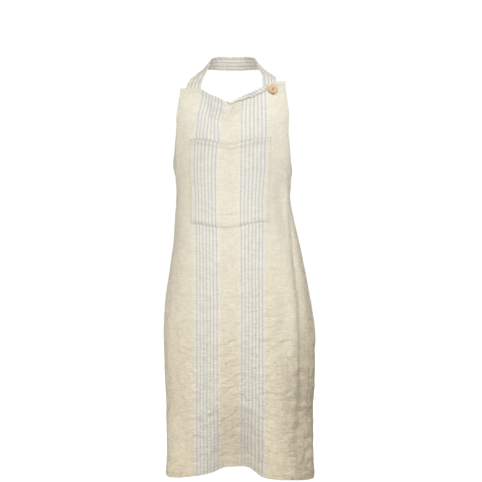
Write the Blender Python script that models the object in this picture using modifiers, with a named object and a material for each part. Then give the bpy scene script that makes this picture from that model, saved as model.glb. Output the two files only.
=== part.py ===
"""Bib apron with a halter neck strap, standing in the shape it takes when worn.

Front faces -Y, +Z is up, metres, bottom centre on the origin. +X is the wearer's left, but
"left" in names means -X, the side on the left when the apron is seen from the front.
Fabric coordinates: across runs over the panel from its centre line towards +X, up runs from
the bottom hem. The drape functions turn them into points of the worn cloth.
"""
import math

import bpy
import bmesh
import numpy as np
from mathutils import Matrix, Vector

# ---------------------------------------------------------------- dimensions
SHIFT = (-0.01075, 0.00212, 0.00005)  # puts the bottom centre of the whole object on the origin
SIDES = (("left", -1), ("right", 1))  # name, sign of x

# Panel
CLOTH = 0.0010         # thickness of the linen
TOP = 0.885            # height of the bib's top edge
WAIST = 0.642          # height of the side corners, where the ties are sewn
TOP_HALF = 0.125       # half width of the bib at its top edge
WAIST_HALF = 0.310     # half width of the skirt at the side corners
HEM_HALF = 0.340       # half width of the skirt at the bottom hem
ARMHOLE_POWER = 3.5    # how quickly the armhole curves in above the waist
LAYER = CLOTH + 0.0009             # from the panel's middle to that of cloth laid on its front
BEHIND = -(CLOTH + 0.0008)         # from the panel's middle to that of the strap behind it

# Stitching
THREAD_R = 0.00042
HEM = 0.009            # distance of the bib's stitch lines from the edge
OVER_BODY = CLOTH / 2 + THREAD_R + 0.00045
OVER_POCKET = LAYER + CLOTH / 2 + THREAD_R + 0.00035
OVER_HEM = OVER_BODY + 0.0006
TACK_T = 0.0006

# Chest pocket
POCKET = (-0.0890, 0.0885)         # left and right edge
POCKET_INSET = 0.0035              # from the edge to the stitching
POCKET_GAPE = 0.0035               # how far the mouth stands off the bib
POCKET_HEM_PART = 0.937            # height of the mouth's stitch line, as a part of the pocket
# edges of the pocket: across, up
POCKET_LOW = ([-0.089, -0.064, -0.032, -0.001, 0.013, 0.029, 0.0885],
              [0.5780, 0.5780, 0.5772, 0.5780, 0.5797, 0.5810, 0.5812])
POCKET_TOP = ([-0.089, -0.053, -0.028, 0.001, 0.022, 0.042, 0.062, 0.0885],
              [0.7660, 0.7650, 0.7620, 0.7592, 0.7612, 0.7640, 0.7668, 0.7705])

# Button and buttonhole
BUTTON_R = 0.0110
BUTTON_T = 0.0036
BUTTON_ACROSS, BUTTON_UP = 0.0925, 0.8660
BUTTON_STANDOFF = 0.0024           # from the cloth's face to the back of the button
DISH_Z = BUTTON_T - 0.0010         # floor of the dished face
HOLE_X, HOLE_Y = 0.0010, 0.0020    # the two holes sit at plus and minus this, on a diagonal
HOLE_R = 0.0010
BUTTON_THREAD_R = 0.0004
# half profile of the button: radius, height above its back
BUTTON_PROFILE = [
    (0.0, DISH_Z), (0.0050, DISH_Z), (0.0072, BUTTON_T - 0.0006), (0.0084, BUTTON_T - 0.0001),
    (0.0096, BUTTON_T), (0.0105, BUTTON_T - 0.0005), (BUTTON_R, BUTTON_T - 0.0014),
    (0.0108, 0.0009), (0.0098, 0.0002), (0.0086, 0.0), (0.0, 0.0)]
SLOT_HALF_W, SLOT_HALF_H = 0.0027, 0.0115
SLOT_UP = 0.8680                   # height of the buttonhole's middle on the cloth
SLOT_CORD_R = 0.0006

# Neck strap
STRAP_W = 0.033
STRAP_LEFT, STRAP_RIGHT = -0.0960, 0.0855    # where the strap meets the bib's top edge
FOLD_RISE = 0.0040                 # fold above the highest edge it passes
LOOP_START = (0, 0.0003, 0.0009)   # from the fold to the end of the loop
END_DROP = 0.0011                  # from the fold down to the top of the strap's ends
# Centre line from the left fold, over the shoulders and round the back of the neck:
# x, y, z, then the direction across the strap (made square to the line and of unit length later)
STRAP_PATH = np.array([
    (-0.0905, -0.040, 0.9035, 0.96, 0.05, 0.28),
    (-0.0830, -0.022, 0.9190, 0.88, 0.02, 0.47),
    (-0.0735, 0.002, 0.9375, 0.78, -0.12, 0.60),
    (-0.0650, 0.026, 0.9520, 0.62, -0.34, 0.70),
    (-0.0480, 0.050, 0.9600, 0.34, -0.42, 0.84),
    (-0.0160, 0.0640, 0.9620, 0.0, -0.30, 0.95),
    (0.0080, 0.0640, 0.9620, 0.0, -0.30, 0.95),
    (0.0410, 0.050, 0.9600, -0.34, -0.42, 0.84),
    (0.0575, 0.026, 0.9530, -0.62, -0.34, 0.70),
    (0.0655, 0.002, 0.9400, -0.78, -0.12, 0.60),
    (0.0730, -0.022, 0.9250, -0.88, 0.02, 0.47),
    (0.0795, -0.040, 0.9120, -0.96, 0.05, 0.28)])
STRAIGHT = 6           # the straight piece behind the neck starts at this point, the fold being 0
# box stitch: across from the strap's middle, distance below the top edge
BOX_STITCH = np.array([(-0.0125, 0.0300), (0.0, 0.0300), (0.0125, 0.0300),
                       (0.0125, 0.0150), (0.0, 0.0150), (-0.0125, 0.0150)])

# Waist ties, knot and bow
TIE_W = 0.024
TIE_T = 0.0012
TIE_UP = WAIST - 0.016             # height of the ties' middle where they are sewn on
TIE_SEWN = 0.030                   # length of tie lying on the skirt
KNOT_R = 0.0100
KNOT_L = 0.0300
KNOT_Y, KNOT_Z = 0.104, WAIST - 0.017
LOOP_L = 0.078
TAIL_TILT = math.radians(9)
TAILS = {"left": (0.235, 0.0115), "right": (0.205, 0.009)}   # length, y from the knot

# ---------------------------------------------------------------- drape stations
# body sections: height, half width at -X, half width at +X, front depth, back depth,
# exponent of the front curve, x of the panel's centre line
SECTIONS = np.array([
    [-0.03, 0.1605, 0.1840, 0.106, 0.085, 3.1, -0.012],
    [0.000, 0.1600, 0.1835, 0.107, 0.085, 3.1, -0.012],
    [0.060, 0.1590, 0.1792, 0.109, 0.090, 2.9, -0.012],
    [0.140, 0.1597, 0.1812, 0.114, 0.095, 2.7, -0.012],
    [0.225, 0.1648, 0.1872, 0.119, 0.100, 2.6, -0.012],
    [0.310, 0.1672, 0.1887, 0.122, 0.104, 2.5, -0.012],
    [0.394, 0.1635, 0.1780, 0.121, 0.104, 2.4, -0.012],
    [0.480, 0.152, 0.162, 0.117, 0.098, 2.3, -0.013],
    [0.540, 0.144, 0.149, 0.113, 0.090, 2.2, -0.013],
    [0.600, 0.1405, 0.135, 0.109, 0.084, 2.15, -0.013],
    [0.654, 0.1358, 0.1285, 0.108, 0.082, 2.1, -0.013],
    [0.700, 0.1405, 0.135, 0.112, 0.085, 2.1, -0.013],
    [0.745, 0.152, 0.145, 0.120, 0.090, 2.1, -0.013],
    [0.790, 0.163, 0.158, 0.118, 0.095, 2.1, -0.013],
    [0.835, 0.178, 0.176, 0.100, 0.095, 2.1, -0.013],
    [0.880, 0.190, 0.190, 0.074, 0.090, 2.1, -0.013],
    [0.920, 0.195, 0.195, 0.050, 0.085, 2.1, -0.013],
])
BACK_POWER = 2.1       # exponent of the back curve

# depth of the wide valley down the middle and of the narrow fold near the +X side: z, depth
VALLEY = ([-0.03, 0.0, 0.08, 0.18, 0.30, 0.42, 0.92],
          [0.056, 0.053, 0.040, 0.022, 0.006, 0.0, 0.0])
VALLEY_X = 0.010
VALLEY_SPREAD = (0.038, 0.033)     # towards -X, towards +X
FOLD = ([-0.03, 0.0, 0.2, 0.4, 0.6, 0.66, 0.72, 0.92],
        [0.010, 0.010, 0.011, 0.011, 0.010, 0.008, 0.0, 0.0])
FOLD_IN = 0.030                    # from the +X side of the body to the fold
FOLD_SPREAD = 0.013

# the bottom hem seen from below: x, y
HEM_LINE = (
    [-0.165, -0.1513, -0.1417, -0.1326, -0.1148, -0.0969, -0.0790, -0.0610, -0.0431,
     -0.0343, -0.0251, -0.0159, 0.0026, 0.0118, 0.0303, 0.0394, 0.0484, 0.0570,
     0.0658, 0.0747, 0.0835, 0.1011, 0.1188, 0.1455, 0.1638, 0.1736, 0.185],
    [-0.0740, -0.0870, -0.0960, -0.0965, -0.0925, -0.0895, -0.0860, -0.0800, -0.0690,
     -0.0550, -0.0450, -0.0425, -0.0390, -0.0365, -0.0360, -0.0410, -0.0550, -0.0800,
     -0.0970, -0.1040, -0.1120, -0.1195, -0.1212, -0.1212, -0.1170, -0.1070, -0.0880])
HEM_LINE_REACH = 0.190             # height up to which the hem line shapes the cloth
# lift of the hem: across, lift; and how much of it is left higher up: up, share
HEM_LIFT = ([-0.097, -0.079, -0.061, -0.043, -0.034, -0.025, -0.016,
             0.003, 0.030, 0.039, 0.048, 0.057, 0.066, 0.075],
            [0.0, 0.0015, 0.0035, 0.0065, 0.0085, 0.0105, 0.0120,
             0.0127, 0.0125, 0.0115, 0.0085, 0.0040, 0.0010, 0.0])
HEM_LIFT_SHARE = ([-0.01, 0.0, 0.10, 0.22, 0.885], [1.0, 1.0, 0.35, 0.0, 0.0])

# how the cloth is pulled across: fabric height, then distance over the drape of each SPREAD_AT
SPREAD_AT = [-0.36, -0.20, -0.125, -0.0735, -0.0273, 0.0273, 0.0735, 0.125, 0.20, 0.36]
SPREAD = [
    (0.00, SPREAD_AT),
    (0.45, SPREAD_AT),
    (0.62, [-0.36, -0.20, -0.130, -0.0760, -0.0285, 0.0270, 0.0760, 0.130, 0.20, 0.36]),
    (0.72, [-0.36, -0.20, -0.129, -0.0790, -0.0280, 0.0280, 0.0810, 0.131, 0.20, 0.36]),
    (0.775, [-0.36, -0.20, -0.1285, -0.0765, -0.0240, 0.0292, 0.0832, 0.1355, 0.21, 0.36]),
    (0.81, [-0.36, -0.20, -0.1275, -0.0705, -0.0255, 0.0290, 0.0830, 0.1395, 0.21, 0.36]),
    (0.885, [-0.36, -0.19, -0.1135, -0.0590, -0.0155, 0.0330, 0.0815, 0.1300, 0.21, 0.36]),
]

# the top edge: how far below the cut edge the hem turns over, and the height of the turned edge
ROLL_R = 0.0021
ROLL = ([-0.020, -0.008, 0.0065, 0.025, 0.040, 0.055, 0.070, 0.083],
        [0.0, 0.006, 0.012, 0.018, 0.019, 0.017, 0.012, 0.0])
TOP_LINE = ([-0.125, -0.082, -0.073, -0.055, -0.040, -0.027, -0.018, -0.006,
             0.0065, 0.025, 0.044, 0.062, 0.081, 0.090, 0.101, 0.125],
            [0.8835, 0.8830, 0.8765, 0.8655, 0.8590, 0.8520, 0.8465, 0.8436,
             0.8495, 0.8600, 0.8710, 0.8803, 0.8905, 0.8955, 0.8990, 0.9012])
# share of the top edge's drop reached at each fabric height
DROP_SHARE = ([0.70, 0.76, 0.80, 0.83, 0.85, 0.868, 0.885],
              [0.0, 0.07, 0.24, 0.50, 0.77, 1.0, 1.0])
# sag of the front at each fabric height: its depth, half width and middle
SAG = ([-0.01, 0.22, 0.45, 0.58, 0.70, 0.762, 0.810, 0.885],
       [0.0, 0.0, 0.006, 0.010, 0.008, 0.004, 0.0, 0.0])
SAG_HALF = ([0.0, 0.2, 0.58, 0.76, 0.885], [0.060, 0.075, 0.085, 0.085, 0.088])
SAG_MIDDLE = ([0.0, 0.2, 0.76, 0.885], [0.012, 0.0, 0.0, 0.002])
# forward bulge of the neckline
COWL_DEPTH = 0.013
COWL_UP = (0.800, 0.872)           # starts, complete
COWL_HALF = 0.085
COWL_MIDDLE = -0.002


# ---------------------------------------------------------------- interpolation
def curve(stations, x):
    """Smooth interpolation through stations (xs, ys), without overshoot."""
    xs, ys = (np.asarray(values, float) for values in stations)
    slope = np.gradient(ys, xs)
    rise = np.diff(ys) / np.diff(xs)
    for i in range(len(xs)):
        before = rise[max(i - 1, 0)]
        after = rise[min(i, len(rise) - 1)]
        if before * after <= 0:
            slope[i] = 0.0
        else:
            limit = 3 * min(abs(before), abs(after))
            slope[i] = math.copysign(min(abs(slope[i]), limit), slope[i])
    x = np.clip(np.asarray(x, float), xs[0], xs[-1])
    i = np.clip(np.searchsorted(xs, x) - 1, 0, len(xs) - 2)
    step = xs[i + 1] - xs[i]
    u = (x - xs[i]) / step
    return ((2 * u**3 - 3 * u**2 + 1) * ys[i] + (u**3 - 2 * u**2 + u) * step * slope[i]
            + (-2 * u**3 + 3 * u**2) * ys[i + 1] + (u**3 - u**2) * step * slope[i + 1])


def smooth(start, stop, x):
    """0 before start, 1 after stop, eased in between."""
    part = np.clip((np.asarray(x, float) - start) / (stop - start), 0, 1)
    return part * part * (3 - 2 * part)


def bump(distance, half):
    """1 at distance 0, falling to 0 at plus and minus half."""
    return np.cos(np.pi / 2 * np.clip(np.abs(distance) / half, 0, 1)) ** 2


# ---------------------------------------------------------------- drape
def drape_table(rows=200, columns=601, reach=0.40, outline_points=1441):
    """x and y of the draped cloth for a grid of heights and distances across."""
    heights = np.linspace(SECTIONS[0, 0], SECTIONS[-1, 0], rows)
    distances = np.linspace(-reach, reach, columns)
    angle = np.linspace(-np.pi, np.pi, outline_points)
    sections = np.stack([curve((SECTIONS[:, 0], SECTIONS[:, k]), heights)
                         for k in range(1, 7)], -1)
    valley = curve(VALLEY, heights)
    fold = curve(FOLD, heights)
    near_hem = 1 - smooth(0.0, HEM_LINE_REACH, heights)
    cosine, sine = np.cos(angle), np.sin(angle)
    front = cosine >= 0
    # the folds fade out towards the sides
    folded = np.clip(3 * cosine, 0, 1)
    x_grid = np.zeros((rows, columns))
    y_grid = np.zeros((rows, columns))
    for i, (left, right, depth, back, power, centre_x) in enumerate(sections):
        x = np.where(sine >= 0, right, left) * np.sign(sine) * np.abs(sine) ** (2 / power)
        y = np.where(front, -depth * np.abs(cosine) ** (2 / power),
                     back * np.abs(cosine) ** (2 / BACK_POWER))
        # distances run along the outline as it is before the folds
        length = np.concatenate([[0], np.cumsum(np.hypot(np.diff(x), np.diff(y)))])
        valley_spread = np.where(x < VALLEY_X, *VALLEY_SPREAD)
        dip = (valley[i] * np.exp(-((x - VALLEY_X) / valley_spread) ** 2)
               + fold[i] * np.exp(-((x - (right - FOLD_IN)) / FOLD_SPREAD) ** 2))
        to_hem_line = curve(HEM_LINE, x) - y
        y = y + folded * (dip * (1 - near_hem[i]) + to_hem_line * near_hem[i])
        start = np.interp(centre_x, x[front], length[front])
        x_grid[i] = np.interp(distances + start, length, x)
        y_grid[i] = np.interp(distances + start, length, y)
    return heights, distances, x_grid, y_grid


DRAPE = drape_table()


def lookup(distance, z):
    """x and y from the drape table, by bilinear interpolation."""
    heights, distances, *grids = DRAPE
    row = np.clip((z - heights[0]) / (heights[1] - heights[0]), 0, len(heights) - 1.001)
    column = np.clip((distance - distances[0]) / (distances[1] - distances[0]),
                     0, len(distances) - 1.001)
    i = row.astype(int)
    j = column.astype(int)
    u = row - i
    v = column - j
    return [grid[i, j] * (1 - u) * (1 - v) + grid[i + 1, j] * u * (1 - v)
            + grid[i, j + 1] * (1 - u) * v + grid[i + 1, j + 1] * u * v for grid in grids]


def half_width(up):
    """Half width of the flat pattern (curved armholes above the waist)."""
    up = np.asarray(up, float)
    bib_part = np.clip((up - WAIST) / (TOP - WAIST), 0, 1)
    bib = TOP_HALF + (WAIST_HALF - TOP_HALF) * (1 - bib_part) ** ARMHOLE_POWER
    skirt = WAIST_HALF + (HEM_HALF - WAIST_HALF) * np.clip((WAIST - up) / WAIST, 0, 1)
    return np.where(up >= WAIST, bib, skirt)


def spread(across, up):
    """Distance over the drape of a fabric point."""
    rows = np.stack([np.interp(across, SPREAD_AT, row) for _, row in SPREAD], 0)
    levels = np.array([level for level, _ in SPREAD])
    up = np.clip(up, levels[0], levels[-1])
    i = np.clip(np.searchsorted(levels, up) - 1, 0, len(levels) - 2)
    part = smooth(0, 1, (up - levels[i]) / (levels[i + 1] - levels[i]))
    below = np.take_along_axis(rows, i[None], 0)[0]
    above = np.take_along_axis(rows, (i + 1)[None], 0)[0]
    return below * (1 - part) + above * part


def height(across, up):
    """Height of a fabric point: the neckline and the front sag, the button corner is higher."""
    roll = curve(ROLL, across)
    top_line = curve(TOP_LINE, across) - ROLL_R * smooth(0.0, 0.006, roll)
    drop = ((TOP - roll) - top_line) * curve(DROP_SHARE, up)
    sag = curve(SAG, up) * bump(across - curve(SAG_MIDDLE, up), curve(SAG_HALF, up))
    lift = curve(HEM_LIFT, across) * curve(HEM_LIFT_SHARE, up)
    return up - drop - sag + lift


def place(across, up):
    """Points of the draped cloth's middle surface."""
    across, up = np.broadcast_arrays(np.asarray(across, float), np.asarray(up, float))
    z = height(across, up)
    x, y = lookup(spread(across, up), z)
    cowl = COWL_DEPTH * smooth(*COWL_UP, up) * bump(across - COWL_MIDDLE, COWL_HALF)
    return np.stack([x, y - cowl, z], -1)


def outward(across, up):
    """Unit normals of the draped cloth, away from the body."""
    step = 0.002
    along = place(np.add(across, step), up) - place(np.subtract(across, step), up)
    rise = place(across, np.add(up, step)) - place(across, np.subtract(up, step))
    normal = np.cross(along, rise)
    return normal / np.linalg.norm(normal, axis=-1, keepdims=True)


def on_cloth(across, up, offset):
    """Points at an offset from the draped cloth's middle surface, outward if positive."""
    return place(across, up) + outward(across, up) * np.asarray(offset)[..., None]


# ---------------------------------------------------------------- builders
def collection(name):
    group = bpy.data.collections.new(name)
    bpy.context.scene.collection.children.link(group)
    return group


def material(name, colour, roughness):
    mat = bpy.data.materials.new(name)
    mat.use_nodes = True
    inputs = mat.node_tree.nodes["Principled BSDF"].inputs
    inputs["Base Color"].default_value = (*colour, 1)
    inputs["Roughness"].default_value = roughness
    return mat


def thread(name):
    return material("thread_" + name, colour=(0.62, 0.57, 0.44), roughness=0.80)


def tie_linen(name):
    return material("tie_linen_" + name, colour=(0.72, 0.66, 0.52), roughness=0.92)


def empty(name, point):
    """Axis that pieces turn with."""
    axis = bpy.data.objects.new(name, None)
    axis.empty_display_size = 0.02
    axis.location = np.asarray(point) + SHIFT
    PARTS.objects.link(axis)
    return axis


def add(name, data, mat, axis=None):
    """Link an object, either fixed or a child of an axis with its data in the axis's frame."""
    ob = bpy.data.objects.new(name, data)
    data.materials.append(mat)
    PARTS.objects.link(ob)
    if axis is None:
        ob.location = SHIFT
    else:
        ob.parent = axis
    return ob


def sheet(name, points, mat, axis=None, holes=(), thick=CLOTH):
    """Cloth from a grid of points [rows, columns, 3]; holes lists the open (row, column)s."""
    rows, columns = points.shape[:2]
    if axis is not None:
        points = points + SHIFT - np.array(axis.location)
    bm = bmesh.new()
    bmesh.ops.create_grid(bm, x_segments=columns - 1, y_segments=rows - 1, size=1.0)
    for vert in bm.verts:
        column = int(round((vert.co.x + 1) / 2 * (columns - 1)))
        row = int(round((vert.co.y + 1) / 2 * (rows - 1)))
        vert.co = Vector(points[row, column])
        vert.index = row * columns + column
    dropped = []
    for face in bm.faces:
        corners = [divmod(vert.index, columns) for vert in face.verts]
        if min(corners) in holes:
            dropped.append(face)
        face.smooth = True
    bmesh.ops.delete(bm, geom=dropped, context="FACES")
    mesh = bpy.data.meshes.new(name)
    bm.to_mesh(mesh)
    bm.free()
    ob = add(name, mesh, mat, axis)
    solidify = ob.modifiers.new("thickness", "SOLIDIFY")
    solidify.thickness = thick
    solidify.offset = 0


def wire(name, points, mat, radius=THREAD_R, closed=False, axis=None):
    """Thread laid along a path; with an axis, the points are in the axis's frame."""
    path = bpy.data.curves.new(name, "CURVE")
    path.dimensions = "3D"
    path.bevel_depth = radius
    path.bevel_resolution = 1
    path.use_fill_caps = not closed
    spline = path.splines.new("POLY")
    spline.points.add(len(points) - 1)
    for point, position in zip(spline.points, points):
        point.co = (*position, 1)
    spline.use_cyclic_u = closed
    weld = add(name, path, mat, axis).modifiers.new("weld", "WELD")
    weld.merge_threshold = 0.00001


def tack(name, across, up, offset, half_w, half_h, mat):
    """Small dense tack: a flat box lying on the cloth."""
    corners_across = np.array([[across - half_w, across + half_w]] * 2)
    corners_up = np.array([[up - half_h] * 2, [up + half_h] * 2])
    sheet(name, on_cloth(corners_across, corners_up, offset), mat, thick=TACK_T)


def cylinder(name, group, axis, **shape):
    bpy.ops.mesh.primitive_cylinder_add(**shape)
    ob = bpy.context.object
    for old_group in list(ob.users_collection):
        old_group.objects.unlink(ob)
    group.objects.link(ob)
    ob.name = name
    ob.data.name = name
    ob.parent = axis
    return ob


# ---------------------------------------------------------------- body panel
# columns of the panel, as parts of its half width; two of them bound the buttonhole
SLOT_PARTS = [(BUTTON_ACROSS + side * SLOT_HALF_W) / TOP_HALF for side in (-1, 1)]
COLUMNS = np.concatenate([
    np.linspace(-1, 0, 24)[:-1],
    np.linspace(0, SLOT_PARTS[0], 17),
    np.linspace(SLOT_PARTS[1], 1.0, 6),
])


def nearest(values, value):
    return int(np.argmin(np.abs(values - value)))


def body():
    slot_low, slot_high = SLOT_UP - SLOT_HALF_H, SLOT_UP + SLOT_HALF_H
    levels = np.concatenate([
        np.linspace(0, WAIST, 22)[:-1],
        np.linspace(WAIST, 0.700, 5)[:-1],
        np.linspace(0.700, slot_low, 13)[:-1],
        np.linspace(slot_low, slot_high, 4),
        [TOP],
    ])
    across = COLUMNS[None, :] * half_width(levels)[:, None]
    up = np.repeat(levels[:, None], len(COLUMNS), 1)
    # above the chest the rows close up so that the last one lies on the turned edge
    up = up - curve(ROLL, across) * smooth(0.800, TOP, up)
    # beside the slot the columns keep their fabric distance
    low, high = nearest(levels, slot_low), nearest(levels, slot_high)
    column = nearest(COLUMNS, SLOT_PARTS[0])
    across[low:high + 1, column] = BUTTON_ACROSS - SLOT_HALF_W
    across[low:high + 1, column + 1] = BUTTON_ACROSS + SLOT_HALF_W
    mat = material("linen_natural", colour=(0.74, 0.68, 0.53), roughness=0.92)
    sheet("apron_body", place(across, up), mat, holes={(row, column) for row in range(low, high)})


def body_stitching():
    # the bib's top hem stitch stops short of the buttonhole
    across = np.linspace(-TOP_HALF + HEM, BUTTON_ACROSS - 0.010, 30)
    up = TOP - 0.0115 - curve(ROLL, across) * 0.8
    wire("bib_hem_stitch", on_cloth(across, up, OVER_HEM), thread("bib_hem"))

    across = COLUMNS[1:-1] * (HEM_HALF - 0.001)
    wire("skirt_hem_stitch", on_cloth(across, 0.0105, OVER_BODY + 0.0007), thread("skirt_hem"))

    armhole_up = np.concatenate([np.linspace(WAIST + 0.012, WAIST + 0.06, 9),
                                 np.linspace(WAIST + 0.07, TOP - 0.022, 16)])
    # keep a constant distance from the curved edge
    slope = (half_width(armhole_up + 0.001) - half_width(armhole_up - 0.001)) / 0.002
    inward = HEM / np.sqrt(1 + slope ** 2)
    armhole_across = half_width(armhole_up) - inward
    armhole_up = armhole_up + slope * inward
    side_up = np.linspace(0.022, WAIST - 0.040, 26)
    side_across = half_width(side_up) - 0.010
    for side, sign in SIDES:
        wire("armhole_stitch_" + side, on_cloth(sign * armhole_across, armhole_up, OVER_HEM),
             thread("armhole_" + side))
        wire("side_hem_stitch_" + side, on_cloth(sign * side_across, side_up, OVER_HEM),
             thread("side_" + side))


def buttonhole_stitch():
    """Closed cord lying round the slot on the face of the bib."""
    angle = 2 * np.pi * np.arange(28) / 28
    # square roots of the cosine and sine give a rounded rectangle
    x, y = (np.copysign(np.sqrt(np.abs(wave)), wave) for wave in (np.cos(angle), np.sin(angle)))
    across = BUTTON_ACROSS + (SLOT_HALF_W + 0.0011) * x
    up = SLOT_UP + (SLOT_HALF_H + 0.0012) * y
    offset = CLOTH / 2 + SLOT_CORD_R + 0.0004
    wire("buttonhole_stitch", on_cloth(across, up, offset), thread("buttonhole"),
         radius=SLOT_CORD_R, closed=True)


# ---------------------------------------------------------------- pocket
def pocket_up(across, part):
    """Fabric height in the pocket: part runs from 0 at its bottom edge to 1 at its mouth."""
    low = curve(POCKET_LOW, across)
    return low + (curve(POCKET_TOP, across) - low) * part


def pocket_gape(across_part, up_part):
    """How far the pocket stands off, most at the middle of its mouth."""
    return POCKET_GAPE * up_part ** 3 * np.sin(np.pi * across_part)


def pocket():
    left, right = POCKET
    across_part, up_part = np.meshgrid(np.linspace(0, 1, 15), np.linspace(0, 1, 15))
    across = left + (right - left) * across_part
    points = on_cloth(across, pocket_up(across, up_part),
                      LAYER + pocket_gape(across_part, up_part))
    sheet("chest_pocket", points,
          material("linen_pocket", colour=(0.76, 0.70, 0.56), roughness=0.92))

    # down the left side, along the bottom and up the right side
    count = 16
    inset = POCKET_INSET
    bottom = np.linspace(left + inset, right - inset, count)
    left_up = np.linspace(pocket_up(left, 1) - 0.006, pocket_up(left, 0) + inset, count)
    right_up = np.linspace(pocket_up(right, 0) + inset, pocket_up(right, 1) - 0.006, count)
    across = np.concatenate([np.full(count, left + inset), bottom[1:],
                             np.full(count - 1, right - inset)])
    up = np.concatenate([left_up, pocket_up(bottom, 0)[1:] + inset, right_up[1:]])
    wire("pocket_stitching", on_cloth(across, up, OVER_POCKET), thread("pocket"))

    across = np.linspace(left + 0.010, right - 0.010, 18)
    gape = pocket_gape((across - left) / (right - left), POCKET_HEM_PART)
    wire("pocket_hem_stitch",
         on_cloth(across, pocket_up(across, POCKET_HEM_PART), OVER_POCKET + gape),
         thread("pocket_hem"))

    for (side, sign), edge in zip(SIDES, POCKET):
        tack("pocket_bartack_" + side, edge - sign * inset, pocket_up(edge, 1) - 0.0015,
             OVER_POCKET + 0.0002, 0.0016, 0.0030, thread("tack_p" + side[0]))


# ---------------------------------------------------------------- neck strap
def strap_linen(name, colour=(0.78, 0.77, 0.70)):
    return material(name, colour=colour, roughness=0.90)


def fold_point(middle):
    """Middle of the strap's fold: behind the cloth, just above the highest edge it passes."""
    passed = place(middle + np.linspace(-STRAP_W / 2, STRAP_W / 2, 9), TOP)
    rise = passed[:, 2].max() + FOLD_RISE - place([middle], [TOP])[0, 2]
    return on_cloth([middle], [TOP + rise], BEHIND)[0]


def strap_loop(left_fold, right_fold, fold_direction):
    stations = np.vstack([
        np.concatenate([left_fold + LOOP_START, fold_direction]),
        STRAP_PATH,
        np.concatenate([right_fold + LOOP_START, -fold_direction])])
    steps = np.linalg.norm(np.diff(stations[:, :3], axis=0), axis=1)
    lengths = np.concatenate([[0], np.cumsum(steps)])
    fine = np.unique(np.concatenate([
        np.linspace(lengths[k], lengths[k + 1], 2 if k == STRAIGHT else 5)
        for k in range(len(lengths) - 1)]))
    values = np.stack([curve((lengths, stations[:, k]), fine) for k in range(6)], -1)
    centre, across = values[:, :3], values[:, 3:]
    tangent = np.gradient(centre, fine, axis=0)
    # both ends of the straight piece take its own direction
    first = nearest(fine, lengths[STRAIGHT])
    tangent[first:first + 2] = centre[first + 1] - centre[first]
    tangent /= np.linalg.norm(tangent, axis=1, keepdims=True)
    # square to the centre line, except at the folds
    inner = slice(1, -1)
    across[inner] -= (across[inner] * tangent[inner]).sum(1, keepdims=True) * tangent[inner]
    across /= np.linalg.norm(across, axis=1, keepdims=True)
    ribbon = np.stack([centre + across * (k * STRAP_W / 2) for k in (-1, -0.5, 0, 0.5, 1)], 1)
    sheet("neck_strap_loop", ribbon, strap_linen("strap_linen_loop"),
          empty("neck_strap_axis", (left_fold + right_fold) / 2))


def strap_end(name, middle, fold, fold_direction, depth, mat):
    """Strap end behind a bib corner: its top edge runs just under and along the fold."""
    along = np.linspace(-STRAP_W / 2, STRAP_W / 2, 5)
    top_z = fold[2] - END_DROP + fold_direction[2] * along
    top_up = TOP + top_z - place(middle + along, TOP)[:, 2]
    rows = [on_cloth(middle + along, top_up - down, BEHIND) for down in np.linspace(depth, 0, 8)]
    sheet(name, np.array(rows), mat)


def neck_strap():
    left_fold, right_fold = fold_point(STRAP_LEFT), fold_point(STRAP_RIGHT)
    direction = (right_fold - left_fold) / np.linalg.norm(right_fold - left_fold)
    strap_loop(left_fold, right_fold, direction)
    strap_end("neck_strap_sewn_end", STRAP_LEFT, left_fold, direction, depth=0.034,
              mat=strap_linen("strap_linen"))
    strap_end("neck_strap_button_end", STRAP_RIGHT, right_fold, direction, depth=0.044,
              mat=strap_linen("strap_linen_end", colour=(0.77, 0.76, 0.69)))
    box = on_cloth(STRAP_LEFT + BOX_STITCH[:, 0], TOP - BOX_STITCH[:, 1], OVER_BODY + 0.0004)
    wire("neck_strap_box_stitch", box, thread("box"), closed=True)


# ---------------------------------------------------------------- button
def button_frame():
    """Axis at the middle of the button's back, its z pointing away from the cloth."""
    normal = outward([BUTTON_ACROSS], [BUTTON_UP])[0]
    back = place([BUTTON_ACROSS], [BUTTON_UP])[0] + normal * (CLOTH / 2 + BUTTON_STANDOFF)
    z_dir = Vector(normal)
    x_dir = Vector((1, 0, 0)) - z_dir * z_dir.x
    x_dir.normalize()
    axis = empty("button_axis", back)
    axis.rotation_mode = "QUATERNION"
    turned = Matrix((x_dir, z_dir.cross(x_dir), z_dir)).transposed()
    axis.rotation_quaternion = turned.to_quaternion()
    return axis


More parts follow.
